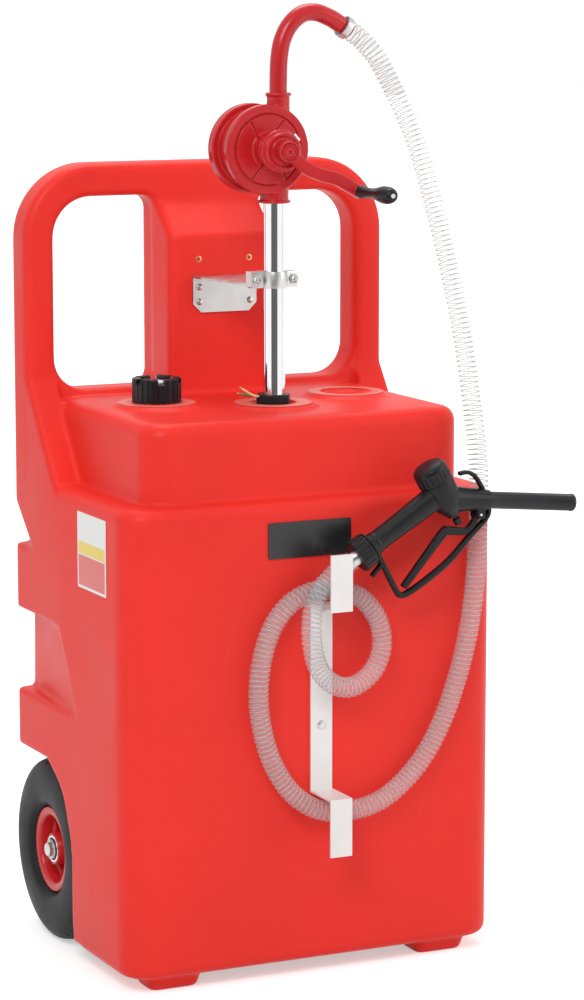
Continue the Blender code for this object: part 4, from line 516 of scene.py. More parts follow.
# Camera, floor and light
CAMERA_TURN = 0.446706
CAMERA_DIP = 0.157211
CAMERA_LENS = 118.77
CAMERA_PLACE = Vector((-1.92267, -4.25382, 1.35377))
FLOOR_GLOW = 0.47
GLOW_NEAR = 1.0
GLOW_FAR = 5.0
CARD_PLACE = (-0.6, -1.46, 1.15)
CARD_AHEAD = (0.427, 0.904, 0)


def camera():
    turn = CAMERA_TURN
    dip = CAMERA_DIP
    ahead = Vector((math.sin(turn) * math.cos(dip), math.cos(turn) * math.cos(dip), -math.sin(dip)))
    right = Vector((math.cos(turn), -math.sin(turn), 0))
    data = bpy.data.cameras.new("camera")
    data.lens = CAMERA_LENS
    data.sensor_fit = "VERTICAL"
    data.sensor_height = 36
    made = bpy.data.objects.new("camera", data)
    axes = Matrix((right, right.cross(ahead), -ahead)).transposed().to_4x4()
    made.matrix_world = at(*(ORIGIN + CAMERA_PLACE)) @ axes
    bpy.context.scene.collection.objects.link(made)
    bpy.context.scene.camera = made


def seen_directly(nodes):
    """1 for rays from the camera, off metal or through a clear wall."""
    rays = nodes.new("ShaderNodeLightPath").outputs
    total = combined(nodes, "MAXIMUM", rays["Is Camera Ray"], rays["Is Glossy Ray"])
    return combined(nodes, "MAXIMUM", total, rays["Is Transmission Ray"])


def white_floor():
    bm = bmesh.new()
    bmesh.ops.create_grid(bm, x_segments=8, y_segments=8, size=30)
    floor = solid("floor", bm)
    paint = surface("floor_white", (0.86, 0.86, 0.86), 0.9, vary=0.01, patch=1)
    nodes = paint.node_tree.nodes
    links = paint.node_tree.links
    shader = nodes["Principled BSDF"].inputs
    place = nodes.new("ShaderNodeTexCoord")
    reach = nodes.new("ShaderNodeVectorMath")
    reach.operation = "LENGTH"
    links.new(place.outputs["Object"], reach.inputs[0])
    far = ranged(nodes, reach.outputs["Value"], FLOOR_GLOW, 1, GLOW_NEAR, GLOW_FAR)
    glow = combined(nodes, "MULTIPLY", seen_directly(nodes), far)
    shader["Emission Color"].default_value = (1, 1, 1, 1)
    links.new(glow, shader["Emission Strength"])
    floor.data.materials.append(paint)


def white_world():
    world = bpy.data.worlds.new("studio")
    bpy.context.scene.world = world
    world.use_nodes = True
    nodes = world.node_tree.nodes
    back = nodes["Background"].inputs
    level = ranged(nodes, seen_directly(nodes), 0.5, 1)
    world.node_tree.links.new(level, back["Strength"])
    back["Color"].default_value = (1, 1, 1, 1)


def lamp(name, place, target, size, power):
    data = bpy.data.lights.new(name, "AREA")
    data.shape = "DISK"
    data.size = size
    data.energy = power
    made = bpy.data.objects.new(name, data)
    made.location = place
    made.rotation_euler = (Vector(target) - Vector(place)).to_track_quat("-Z", "Y").to_euler()
    bpy.context.scene.collection.objects.link(made)


def dark_card():
    """A card that only glossy surfaces see, for the dark streak in the polished metal."""
    slab = layered(box_line((-0.9, -1.0), (0.9, 1.0)), [(-0.01, 0), (0, 0)])
    card = solid("card", slab, facing(*CARD_PLACE, CARD_AHEAD, (0, 0, 1)))
    card.data.materials.append(surface("card_grey", (0.2, 0.2, 0.2), 0.9, vary=0.02, patch=1))
    for kind in ("camera", "diffuse", "transmission", "shadow", "volume_scatter"):
        setattr(card, f"visible_{kind}", False)


def studio():
    bpy.context.scene.view_settings.view_transform = "Standard"
    camera()
    white_floor()
    dark_card()
    white_world()
    lamp("key", (-2.2, -2.6, 3.2), (0, 0, 0.6), 1.8, 82)
    lamp("fill", (2.8, -2.0, 2.0), (0, 0, 0.6), 2.2, 30)
    lamp("top", (0.3, 0.8, 3.4), (0, 0, 0.8), 1.8, 36)


# Delivery hose
HOSE_RADIUS = 0.0145
HOSE_ROOT = 0.0136
HOSE_BORE = 0.0126
HELIX_PITCH = 0.0068
HELIX_RADIUS = 0.0006
COIL_STEPS = 14
HOSE_ROUTE = (
    (0.1024, -0.184, 1.2882), (0.1144, -0.184, 1.2809), (0.1268, -0.1842, 1.273),
    (0.1372, -0.1885, 1.262), (0.1495, -0.2, 1.2416), (0.1713, -0.215, 1.1915),
    (0.1937, -0.235, 1.1224), (0.209, -0.26, 1.0347), (0.2206, -0.28, 0.9549),
    (0.229, -0.3, 0.874), (0.2347, -0.318, 0.7822), (0.24, -0.329, 0.6945),
    (0.2385, -0.3345, 0.6386), (0.236, -0.3355, 0.579), (0.2319, -0.3355, 0.5207),
    (0.223, -0.3355, 0.4625), (0.208, -0.3355, 0.405), (0.185, -0.3355, 0.345),
    (0.1556, -0.3355, 0.2952), (0.121, -0.337, 0.261), (0.0856, -0.339, 0.24),
    (0.047, -0.34, 0.2315), (0.0087, -0.3405, 0.233), (-0.0241, -0.34, 0.2455),
    (-0.0544, -0.337, 0.273), (-0.08, -0.3355, 0.32), (-0.0945, -0.3355, 0.3827),
    (-0.0925, -0.3355, 0.44), (-0.0775, -0.3355, 0.489), (-0.053, -0.3355, 0.521),
    (-0.024, -0.3355, 0.536), (0.006, -0.3355, 0.5395), (0.036, -0.3355, 0.535),
    (0.064, -0.336, 0.518), (0.084, -0.3375, 0.488), (0.086, -0.342, 0.453), (0.07, -0.346, 0.423),
    (0.039, -0.35, 0.406), (0.006, -0.356, 0.413), (-0.019, -0.3615, 0.439),
    (-0.03, -0.365, 0.475), (-0.03, -0.3655, 0.513), (-0.019, -0.3655, 0.544),
    (-0.006, -0.3653, 0.5572), (0.0046, -0.365, 0.5664), (0.0165, -0.365, 0.5738),
    (0.0284, -0.365, 0.5812),
)


def along(points, gap):
    """Evenly spaced points on the smooth curve through the given points."""
    fine = smooth_path(points, 24)
    steps = [0.0]
    for a, b in zip(fine, fine[1:]):
        steps.append(steps[-1] + (b - a).length)
    count = max(round(steps[-1] / gap), 1)
    made = []
    k = 0
    for i in range(count + 1):
        want = steps[-1] * i / count
        while k < len(steps) - 2 and steps[k + 1] < want:
            k += 1
        made.append(fine[k].lerp(fine[k + 1], (want - steps[k]) / (steps[k + 1] - steps[k])))
    return made


def axes_along(points):
    """The two directions across a path at each of its points, without twist."""
    made = []
    side = Vector(BACK)
    for ahead in headings(points):
        side = (side - ahead * ahead.dot(side)).normalized()
        made.append((side, ahead.cross(side)))
    return made


def round_path(points, radius, sides):
    """Rings round a path; the radius is one number, or a function of the point's number and the turn."""
    rings = []
    for i, (here, (side, over)) in enumerate(zip(points, axes_along(points))):
        ring = []
        for k in range(sides):
            turn = 2 * math.pi * k / sides
            reach = radius(i, turn) if callable(radius) else radius
            ring.append(here + (side * math.cos(turn) + over * math.sin(turn)) * reach)
        rings.append(ring)
    return rings


def hose():
    step = HELIX_PITCH / 6

    def ridge(i, turn):
        phase = 2 * math.pi * i * step / HELIX_PITCH - turn
        return HOSE_ROOT + (HOSE_RADIUS - HOSE_ROOT) * (0.5 + 0.5 * math.cos(phase)) ** 1.5

    outer = round_path(along(HOSE_ROUTE, step), ridge, 24)
    inner = round_path(along(HOSE_ROUTE, 0.006), HOSE_BORE, 24)
    wall = skin([*outer, *inner[::-1], outer[0]], False)
    tube = piece("hose_tube", wall, HOSE, "caddy", "delivery_hose", slot="hose_plastic")
    turns = along(HOSE_ROUTE, HELIX_PITCH / COIL_STEPS)
    middle = (HOSE_BORE + HOSE_ROOT) / 2
    coil = []
    for i, (here, (side, over)) in enumerate(zip(turns, axes_along(turns))):
        turn = 2 * math.pi * i / COIL_STEPS
        coil.append(here + (side * math.cos(turn) + over * math.sin(turn)) * middle)
    rings = round_path(coil[COIL_STEPS:-COIL_STEPS], HELIX_RADIUS, 6)
    helix = piece("hose_helix", skin(rings), HELIX, "caddy", sharp=180)
    hose_clip()


def hose_clip():
    """The clamp band round the hose's first end, with its screw housing."""
    end = Vector(HOSE_ROUTE[1])
    ahead = (end - Vector(HOSE_ROUTE[0])).normalized()
    place = facing(*(end - ahead * 0.009), ahead)
    inner = HOSE_RADIUS + GAP
    band = [
        (inner, -0.0045), (inner + 0.0009, -0.0045), (inner + 0.0012, 0), (inner + 0.0009, 0.0045),
        (inner, 0.0045),
    ]
    outline = box_line((-0.0045, inner + 0.0006), (0.0045, inner + 0.009), 0.0015, 4)
    across = place @ at(0, inner + 0.005, 0) @ Matrix.Rotation(math.pi / 2, 4, "Y")
    worm = [(0, 0.0035), (0.003, 0.0035), (0.0034, 0.0045), (0.0034, 0.0085), (0.0028, 0.0092), (0, 0.0092)]
    made = joined(
        solid("clamp_band", turned(band, 48), place),
        solid("clamp_housing", layered(outline, eased(-0.0054, 0.0054, 0.001)), place),
        solid("clamp_worm", turned(worm, 24), across),
    )
    return finished(made, ZINC, "caddy", "hose_clamp", slot="zinc_steel")


# Tank
def tank_ring(z, inset):
    half = TANK_HALF - inset
    front = max(TANK_CORNER - inset, 0.002)
    rear = max(REAR_CORNER - inset, 0.002)
    outline = box_line((-half, TANK_FRONT + inset), (half, TANK_REAR - inset), [front, front, rear, rear])
    return [(x, y, z) for x, y in outline]


def tank_body():
    rings = [tank_ring(TANK_BOTTOM + drop, inset) for drop, inset in reversed(round_over(BOTTOM_ROUND, 5))]
    rings += [tank_ring(SHOULDER_Z - drop, inset) for drop, inset in round_over(SHOULDER_ROUND, 5)]
    return solid("tank_body", skin(rings))


def dome():
    outline = box_line((-DOME_HALF, DOME_FRONT), (DOME_HALF, DOME_REAR), DOME_CORNER)
    tops = [(DECK_Z - drop, inset) for drop, inset in round_over(DOME_ROUND, 5)]
    return solid("tank_dome", layered(outline, [(DOME_ROOT_Z, 0), *tops]))


def handle_frame():
    corners = [
        (-TANK_HALF, DOME_ROOT_Z), (TANK_HALF, DOME_ROOT_Z), (TANK_HALF, FRAME_TOP),
        (-TANK_HALF, FRAME_TOP),
    ]
    outline = rounded(corners, [0, 0, FRAME_CORNER, FRAME_CORNER], 16)
    return solid("tank_frame", upright(outline, eased(FRAME_FRONT, TANK_REAR, FRAME_ROUND)))


def window(side):
    inner = side * (TANK_HALF - FRAME_COLUMN)
    near = side * BLOCK_HALF
    corners = [(near, WINDOW_LOW), (inner, WINDOW_LOW), (inner, WINDOW_HIGH), (near, WINDOW_HIGH)]
    outline = rounded(corners, [WINDOW_LOW_CORNER, WINDOW_OUTER_CORNER, WINDOW_CORNER, WINDOW_LOW_CORNER])
    flare = round_over(FRAME_ROUND, 4)
    layers = [(FRAME_FRONT - CUT_OVER, -FRAME_ROUND)]
    layers += [(FRAME_FRONT + inset, -drop) for drop, inset in flare]
    layers += [(TANK_REAR - inset, -drop) for drop, inset in reversed(flare)]
    return solid("window", upright(outline, [*layers, (TANK_REAR + CUT_OVER, -FRAME_ROUND)]))


def pump_block():
    half = BLOCK_HALF + 0.0012
    rear = (FRAME_FRONT + TANK_REAR) / 2
    rings = []
    for z, front in (
        (DOME_ROOT_Z, BLOCK_FRONT), (BLOCK_BEND_Z, BLOCK_FRONT), (BLOCK_TOP_Z, BLOCK_TOP_FRONT),
    ):
        rings.append([(x, y, z) for x, y in box_line((-half, front), (half, rear), BLOCK_CORNER)])
    return solid("tank_block", skin(rings))


def gusset(side):
    rear = (FRAME_FRONT + TANK_REAR) / 2
    foot = SHOULDER_Z - 0.024
    outline = [
        (FRAME_FRONT, GUSSET_TOP), (rear, GUSSET_TOP), (rear, foot), (GUSSET_FRONT, foot),
        (GUSSET_FRONT, GUSSET_LOW),
    ]
    rings = []
    for x, inset in ((DOME_HALF - 0.004, 0), (TANK_HALF - 0.0055, 0), (TANK_HALF - 0.0005, 0.005)):
        rings.append([(side * x, y, z) for y, z in moved_in(outline, inset)])
    return solid("tank_gusset", skin(rings))


def wheel_arch(side):
    shares = (
        (-0.154, 2.054), (-0.558, 1.8), (-0.723, 1.508), (-0.831, 1.2), (-0.842, 0.654), (-0.877, 0.0),
    )
    path = smooth_path([(y * WHEEL_RADIUS, z * WHEEL_RADIUS, 0) for y, z in shares], 6)
    line = [tuple(p.xy) for p in path]
    high = line[0][1]
    rear = TANK_REAR + CUT_OVER
    opening = [(rear, 0), (rear, high), *line[:-1], (line[-1][0], 0)]
    reach = WHEEL_RADIUS + WHEEL_ROOM
    curve = arc((0, WHEEL_RADIUS), reach, 105, 180, 16)
    behind = [(rear, 0), (rear, high), (0, high), *curve, (-reach, 0)]
    inner = WHEEL_OUTER_X - WHEEL_WIDTH - WHEEL_INNER_ROOM
    made = []
    for end, outline in ((TANK_HALF + CUT_OVER, opening), (TANK_HALF - ARCH_LIP, behind)):
        rings = [[(side * x, y, z) for y, z in outline] for x in (inner, end)]
        made.append(solid("arch", skin(rings)))
    return made


def pocket(side, top, bottom, top_y, bottom_y, top_depth, step):
    """A cutter for a hand hold that gets deeper towards the front."""
    outer = TANK_HALF + CUT_OVER
    stop = TANK_REAR + CUT_OVER
    rings = []
    for z, front, depth in ((bottom, bottom_y, POCKET_DEPTH), (top, top_y, top_depth)):
        slope = (depth - step) / (TANK_REAR - front)
        start = front if step else front - 0.01 / max(slope, 0.1)
        spare = 0 if depth else GAP
        first = TANK_HALF - step + slope * (front - start) + spare
        last = TANK_HALF - step - slope * (stop - front) + spare
        corners = ((outer, start), (first, start), (last, stop), (outer, stop))
        rings.append([(side * x, y, z) for x, y in corners])
    return solid("pocket", skin(rings))


def pockets(side):
    low_ys = (LOW_POCKET_TOP_Y, LOW_POCKET_BOTTOM_Y)
    return [
        pocket(side, LOW_POCKET_TOP, LOW_POCKET_BOTTOM, *low_ys, POCKET_DEPTH, POCKET_STEP),
        pocket(side, HIGH_POCKET_TOP, HIGH_POCKET_BOTTOM, HIGH_POCKET_Y, HIGH_POCKET_Y, 0, 0),
    ]


def foot(side):
    outline = box_line((-FOOT_HALF_X, -FOOT_HALF_Y), (FOOT_HALF_X, FOOT_HALF_Y), FOOT_CORNER)
    layers = [(0, 0.002), (0.002, 0), (TANK_BOTTOM + FOOT_SINK, -FOOT_FLARE)]
    return solid("tank_foot", layered(outline, layers), at(side * FOOT_X, FOOT_Y, 0))


DECK_PLACES = ((-BOSS_X, BOSS_Y), (BOSS_X, BOSS_Y), (0, PUMP_BOSS_Y))


def deck_solids():
    high = DECK_Z + BOSS_HEIGHT
    low = DECK_Z - 0.012
    disc = [
        (0, low), (BOSS_RADIUS, low), (BOSS_RADIUS, high - 0.002), (BOSS_RADIUS - 0.002, high), (0, high),
    ]
    neck = [(0, low), (0.029, low), (0.029, 0.796), (0.028, 0.797), (0, 0.797)]
    made = [solid("tank_boss", turned(disc, 96), at(x, y, 0)) for x, y in DECK_PLACES]
    return [*made, solid("tank_neck", turned(neck), at(-BOSS_X, BOSS_Y, 0))]


def deck_cutters():
    high = DECK_Z + BOSS_HEIGHT
    top = high + 0.06
    seat = [
        (0, 0.62), (0.0265, 0.62), (0.0265, high - 0.005), (0.0302, high - 0.005), (0.0302, top), (0, top),
    ]
    holes = (rod(0.024, 0.62, top), rod(BLIND_RADIUS, high - BLIND_DEPTH, top), seat)
    return [solid("deck_hole", turned(hole), at(x, y, 0)) for hole, (x, y) in zip(holes, DECK_PLACES)]


def tank():
    frame = handle_frame()
    openings = [window(side) for side in (-1, 1)]
    boolean(frame, openings, "DIFFERENCE")
    applied(frame, openings)
    solids = [tank_body(), dome(), frame, pump_block(), *deck_solids()]
    cutters = deck_cutters()
    for side in (-1, 1):
        solids += [gusset(side), foot(side)]
        cutters += [*wheel_arch(side), *pockets(side)]
    cutters.append(plug(0.0106, -TANK_HALF, TANK_HALF, at(0, 0, WHEEL_RADIUS) @ ALONG_X, 32))
    voxel = by_quality(0.0031)
    made = moulded("tank_moulding", solids, cutters, voxel, by_quality(9), 0.25)
    return finished(made, TANK_RED, "caddy", "tank_shell", slot="tank_plastic", sharp=60)


def joined(first, *others):
    """One object from several, keeping the first one's place."""
    bm = bmesh.new()
    bm.from_mesh(first.data)
    for other in others:
        more = other.data.copy()
        more.transform(first.matrix_world.inverted() @ other.matrix_world)
        bm.from_mesh(more)
        bpy.data.meshes.remove(more)
        bpy.data.objects.remove(other, do_unlink=True)
    bm.to_mesh(first.data)
    bm.free()
    return first


# Pump, crank, tube and spout
PUMP_RADIUS = 0.061
PUMP_GROOVE = 0.052
PUMP_COVER = 0.006
PUMP_FLANGE_END = 0.0163
PUMP_RING_START = 0.053
PUMP_DEPTH = 0.0645
PUMP_RING = 0.048
PUMP_BOSS = 0.0225
PUMP_BOSS_END = 0.083
SHAFT_RADIUS = 0.0075
SHAFT_START = 0.0066
LOW_PORT_RADIUS = 0.0196
HIGH_PORT_RADIUS = 0.0158
HIGH_PORT_X = 0.006
PORT_INNER = 0.041
PORT_LOW = 1.054
PORT_HIGH = 1.199
LOW_FLANGE = 0.0225
HIGH_FLANGE = 0.0178
FLANGE_THICK = 0.004
CRANK_FRONT = -0.272
CRANK_REAR = -0.258
CRANK_MIDDLE = -0.265
CRANK_HALF = 0.0086
CRANK_THICK = 0.0045
HUB_HALF = 0.0145
GRIP_X = 0.0809
GRIP_Z = 1.0685
GRIP_START = -0.2845
GRIP_LENGTH = 0.0955
GRIP_RADIUS = 0.0118
SPOUT_RADIUS = 0.012
PUMP_PLACE = at(PUMP_X, PUMP_REAR, PUMP_Z) @ TO_FRONT


def drum():
    edge = 0.0016
    ring = PUMP_RING
    boss = PUMP_BOSS
    line = [(0, 0.0063), (PUMP_RADIUS, 0.0063), (PUMP_RADIUS, PUMP_FLANGE_END - edge)]
    line += [
        (PUMP_RADIUS - edge, PUMP_FLANGE_END), (PUMP_GROOVE, PUMP_FLANGE_END),
        (PUMP_GROOVE, PUMP_RING_START),
    ]
    line += [(PUMP_RADIUS - edge, PUMP_RING_START), (PUMP_RADIUS, PUMP_RING_START + edge)]
    line += [
        (PUMP_RADIUS, PUMP_DEPTH - edge), (PUMP_RADIUS - edge, PUMP_DEPTH), (ring + 0.0012, PUMP_DEPTH),
    ]
    line += [
        (ring + 0.001, PUMP_DEPTH - 0.0028), (ring - 0.001, PUMP_DEPTH - 0.0028),
        (ring - 0.0012, PUMP_DEPTH),
    ]
    line += [(boss + 0.002, PUMP_DEPTH), (boss, PUMP_DEPTH + 0.003), (boss, PUMP_BOSS_END - edge)]
    line += [(boss - edge, PUMP_BOSS_END), (0, PUMP_BOSS_END)]
    return solid("pump_casting", turned(line, 128), PUMP_PLACE)


def pad_line(turn):
    """A thin straight groove in the face, from the ring to the boss."""
    outline = box_line((PUMP_BOSS - 0.002, 0.006), (PUMP_RING - 0.0005, 0.008))
    bar = layered(outline, [(PUMP_DEPTH - 0.0026, 0), (PUMP_DEPTH + 0.01, 0)])
    return solid("pad_line", bar, spun(PUMP_PLACE, math.radians(turn)))


def port_plate(x, radius, top):
    return solid("pump_plate", turned(rod(radius, top - FLANGE_THICK, top, 0.0008)), at(x, TUBE_Y, 0))


def pump():
    low_place = at(0, TUBE_Y, 0)
    high_place = at(HIGH_PORT_X, TUBE_Y, 0)
    solids = [
        drum(),
        plug(LOW_PORT_RADIUS, PORT_LOW - GAP, PUMP_Z - PORT_INNER, low_place, 64),
        plug(HIGH_PORT_RADIUS, PUMP_Z + PORT_INNER, PORT_HIGH - FLANGE_THICK / 2, high_place, 64),
        port_plate(0, LOW_FLANGE, PORT_LOW),
        port_plate(HIGH_PORT_X, HIGH_FLANGE, PORT_HIGH),
    ]
    seat = [(0, 1.04), (0.0153, 1.04), (0.0153, 1.066), (0.01, 1.066), (0.01, 1.075), (0, 1.075)]
    cutters = [
        plug(SHAFT_RADIUS + GAP, -0.01, 0.12, PUMP_PLACE, 32),
        solid("tube_seat", turned(seat, 48), low_place),
        plug(0.0123, 1.183, 1.21, high_place),
        *[pad_line(turn) for turn in (-130, -65, 50, 115)],
    ]
    made = moulded("pump_casting", solids, cutters, by_quality(0.0008), 2, 0.4)
    finished(made, ENAMEL, "caddy", "pump_body", slot="pump_paint", sharp=50)
    edge = 0.0012
    high = PUMP_COVER
    cover = [(0, 0.0008), (0.03, 0), (PUMP_RADIUS - edge, 0), (PUMP_RADIUS, edge)]
    cover += [(PUMP_RADIUS, high - edge / 2), (PUMP_RADIUS - edge / 2, high), (0, high)]
    piece(
        "pump_cover", turned(cover, 96), ENAMEL, "caddy", "pump_rear_cover", place=PUMP_PLACE,
        slot="pump_paint",
    )
    start = PUMP_BOSS_END + GAP
    bore = SHAFT_RADIUS + GAP
    line = [
        (bore, start), (0.019, start), (0.0205, start + 0.006), (0.0272, start + 0.0125), (0.029, 0.101),
    ]
    line += [(0.029, 0.1066), (0.0283, 0.1075), (0.0262, 0.1079), (0.0253, 0.1086), (0.0252, 0.114)]
    line += [(0.0244, 0.1151), (0.0222, 0.1153), (0.019, 0.1136), (0.0182, 0.114), (0.0181, 0.1155)]
    line += [(0.0174, 0.1161), (bore, 0.1161)]
    piece("gland", turned(line, 96), ENAMEL, "caddy", "gland_nut", place=PUMP_PLACE, slot="pump_paint")


def gland_glint():
    """The small bright lug at the gland's edge: a painted glint that stands in for a highlight on the
    gland's rim.
    """
    outline = box_line((-0.0016, -0.006), (0.0016, 0.006), 0.0006, 3)
    place = spun(PUMP_PLACE, math.radians(43)) @ at(0.0272, 0, 0)
    piece("gland_lug", layered(outline, eased(0.107, 0.113, 0.0005)), CHROME, "caddy", place=place)


def crank():
    """The S-shaped arm with its hub and eye, in one casting."""
    shares = (
        (0, 0, 0),
        (0.13, 0.2, 0.05),
        (0.26, 0.4, 0.22),
        (0.46, 0.57, 0.45),
        (0.68, 0.68, 0.7),
        (0.9, 0.9, 0.95),
        (1.04, 1.05, 1.0),
    )
    drop = PUMP_Z - GRIP_Z
    reach = CRANK_MIDDLE - (GRIP_START + CRANK_THICK + GAP)
    path = [
        (PUMP_X + x * (GRIP_X - PUMP_X), CRANK_MIDDLE - y * reach, PUMP_Z - z * drop)
        for x, z, y in shares
    ]
    rear = PUMP_REAR - CRANK_REAR
    front = PUMP_REAR - CRANK_FRONT
    hub = [(0, rear), (HUB_HALF - 0.001, rear), (HUB_HALF, rear + 0.001)]
    rim = (
        (HUB_HALF, -0.0014), (HUB_HALF - 0.0012, 0), (0.0124, 0), (0.0118, -0.0022), (0.0104, -0.0022),
        (0.0098, 0),
    )
    hub += from_level(front, [*rim, (0, 0)])
    eye_place = at(GRIP_X, GRIP_START, GRIP_Z) @ TO_FRONT @ at(0, 0, -0.0093)
    solids = [
        solid("crank_casting", swept(smooth_path(path, 8), CRANK_HALF, CRANK_THICK, 32, 0.4)),
        solid("crank_hub", turned(hub), PUMP_PLACE),
        plug(CRANK_HALF, -0.0003, 0.0093, eye_place),
    ]
    bore = SHAFT_RADIUS + GAP
    cutters = [plug(bore, 0.11, 0.15, PUMP_PLACE, 32)]
    made = moulded("crank_casting", solids, cutters, by_quality(0.0006), 1, 0.45)
    finished(made, ENAMEL, "crank", "crank_arm", slot="pump_paint", sharp=60)
    tip = (
        (SHAFT_RADIUS, -0.0005), (SHAFT_RADIUS - 0.0005, 0.0002), (0.0023, 0.0002), (0.0018, -0.0018),
        (0, -0.0026),
    )
    shaft = [(0, SHAFT_START), (SHAFT_RADIUS, SHAFT_START), *from_level(front, tip)]
    piece("shaft", turned(shaft, 48), ENAMEL, "crank", "pump_shaft", place=PUMP_PLACE)
    washer = ((bore, -0.0023), (0.0135, -0.0023), (0.0137, -0.0013), (0.0135, -GAP), (bore, -GAP))
    washer = turned(from_level(rear, washer))
    piece("crank_washer_ring", washer, CHROME, "crank", "crank_washer", place=PUMP_PLACE, slot="chrome")


def grip():
    shares = ((0, 0.62), (0.01, 0.7), (0.05, 0.76), (0.09, 0.75), (0.2, 0.62), (0.38, 0.6), (0.55, 0.78))
    shares += ((0.72, 1.0), (0.86, 0.98), (0.95, 0.8), (0.985, 0.6), (1.0, 0.46))
    curve = smooth_path([(width * GRIP_RADIUS, 0, share * GRIP_LENGTH) for share, width in shares], 5)
    line = [(min(max(p.x, 0.0042), GRIP_RADIUS), min(max(p.z, 0), GRIP_LENGTH)) for p in curve]
    line = [(0.004, 0), *line, (0.004, GRIP_LENGTH)]
    place = at(GRIP_X, GRIP_START, GRIP_Z) @ TO_FRONT
    piece("crank_handle", turned(line, 56), BLACK, "grip", "crank_grip", place=place, slot="black_plastic")
    tip = from_level(GRIP_LENGTH, ((0.0035, -0.0002), (0.003, 0.0004), (0, 0.0006)))
    screw = [(0, -0.0085), (0.0035, -0.0085), *tip]
    piece("grip_screw", turned(screw, 32), ZINC, "crank", "grip_spindle", place=place)


def tube():
    line = rod(0.015, 0.07, 1.0655, bore=0.0135)
    place = at(0, TUBE_Y, 0)
    return piece("tube", turned(line, 96), CHROME, "caddy", "suction_tube", place=place, slot="chrome")


def spout():
    points = ((HIGH_PORT_X, 1.184), (HIGH_PORT_X, 1.212), (0.0074, 1.245), (0.0125, 1.27), (0.0245, 1.291))
    points += ((0.0425, 1.3045), (0.0625, 1.3064), (0.082, 1.2998), (0.0936, 1.2937), (0.1014, 1.2888))
    path = smooth_path([(x, TUBE_Y, z) for x, z in points], 8)
    radii = [SPOUT_RADIUS] * (len(path) - 1) + [SPOUT_RADIUS - 0.0008]
    end = path[-1]
    ahead = (end - path[-2]).normalized()
    barb = (
        (0.0002, 0.01), (0.004, 0.01), (0.0055, 0.0106), (0.0125, 0.01), (0.014, 0.0106), (0.0155, 0.01),
    )
    for step, radius in barb:
        path.append(end + ahead * step)
        radii.append(radius)
    outer = round_path(path, lambda i, turn: radii[i], 48)
    inner = round_path(path, 0.0085, 48)
    wall = skin([*outer, *inner[::-1], outer[0]], False)
    return piece("spout", wall, ENAMEL, "caddy", "spout_pipe", slot="pump_paint", sharp=35)


# Cap, collar and wires on the deck
CAP_RADIUS = 0.034
CAP_LOW = 0.7763
CAP_CEILING = 0.8006
CAP_TOP = 0.8106
CAP_FLOOR = 0.8028
CAP_CROWN = 0.021
CAP_NOTCHES = 6
CAP_GROOVES = 24
BUNG_TOP = 0.788


def cap_cutters(name, count, start, low, inner, half, place):
    """Straight notches evenly spaced round the cap's rim."""
    outline = box_line((inner, -half), (CAP_RADIUS + 0.004, half))
    layers = [(low, 0), (CAP_TOP + 0.005, 0)]
    turns = [2 * math.pi * (i + start) / count for i in range(count)]
    return [solid(name, layered(outline, layers), spun(place, turn)) for turn in turns]


def cap():
    place = at(-BOSS_X, BOSS_Y, 0)
    edge = 0.0016
    line = [(0, CAP_LOW), (CAP_RADIUS, CAP_LOW), (CAP_RADIUS, CAP_TOP - edge), (CAP_RADIUS - edge, CAP_TOP)]
    line += [
        (CAP_CROWN + edge, CAP_TOP), (CAP_CROWN, CAP_TOP - edge), (CAP_CROWN - 0.001, CAP_FLOOR),
        (0, CAP_FLOOR),
    ]
    body = solid("cap", turned(line, 96), place)
    cutters = [
        plug(0.0299, CAP_LOW - 0.01, CAP_CEILING, place, 64),
        *cap_cutters("cap_notch", CAP_NOTCHES, 0.3, CAP_FLOOR, CAP_CROWN - 0.004, 0.0045, place),
        *cap_cutters("cap_groove", CAP_GROOVES, 0.2, CAP_LOW - 0.005, CAP_RADIUS - 0.0013, 0.001, place),
    ]
    made = moulded("cap", [body], cutters, by_quality(0.0006), 2, 0.4)
    finished(made, BLACK, "cap", "filler_cap", slot="black_plastic", sharp=50)
    disc = ((0, 0), (0.0125, 0), (0.013, 0.0008), (0.0122, 0.0024), (0.008, 0.0032), (0, 0.0034))
    disc = turned(from_level(CAP_FLOOR + GAP, disc), 48)
    piece("cap_disc", disc, CREAM_PAINT, "cap", "cap_vent", place=place, slot="cleat_paint")


def collar():
    """The black six-sided collar round the tube, on its round flange."""
    seat = DECK_Z + BOSS_HEIGHT + GAP
    place = at(0, PUMP_BOSS_Y, 0)
    flange = from_level(
        seat, ((0, -0.018), (0.026, -0.018), (0.026, -0.0035), (0.0254, -0.003), (0, -0.003)),
    )
    body = layered(
        hexagon(0.0258, 0.004, 6), [(seat - 0.004, 0), (BUNG_TOP - 0.0015, 0), (BUNG_TOP, 0.0015)],
    )
    solids = [solid("collar", turned(flange, 96), place), solid("collar_hex", body, place)]
    cutters = [plug(TUBE_RADIUS + GAP, seat - 0.03, BUNG_TOP + 0.01, at(0, TUBE_Y, 0), 64)]
    made = moulded("collar", solids, cutters, 0.0008, 2, 0.35)
    finished(made, BLACK, "caddy", "pump_bung", slot="black_plastic", sharp=50)


def painted_boss_sheen():
    """Paler rings on the faces of the three bosses: a painted highlight for the sheen on their rims."""
    low = DECK_Z + BOSS_HEIGHT + 0.0002
    for word, (x, y), inner in zip(("cap", "blind", "pump"), DECK_PLACES, (0.0362, 0.036, 0.0318)):
        line = from_level(low, ((inner, 0), (0.0535, 0), (0.053, 0.0003), (inner + 0.0005, 0.0003)))
        piece(f"boss_face_{word}", turned(line, 96), BOSS_PAINTED_SHEEN, "caddy", place=at(x, y, 0))


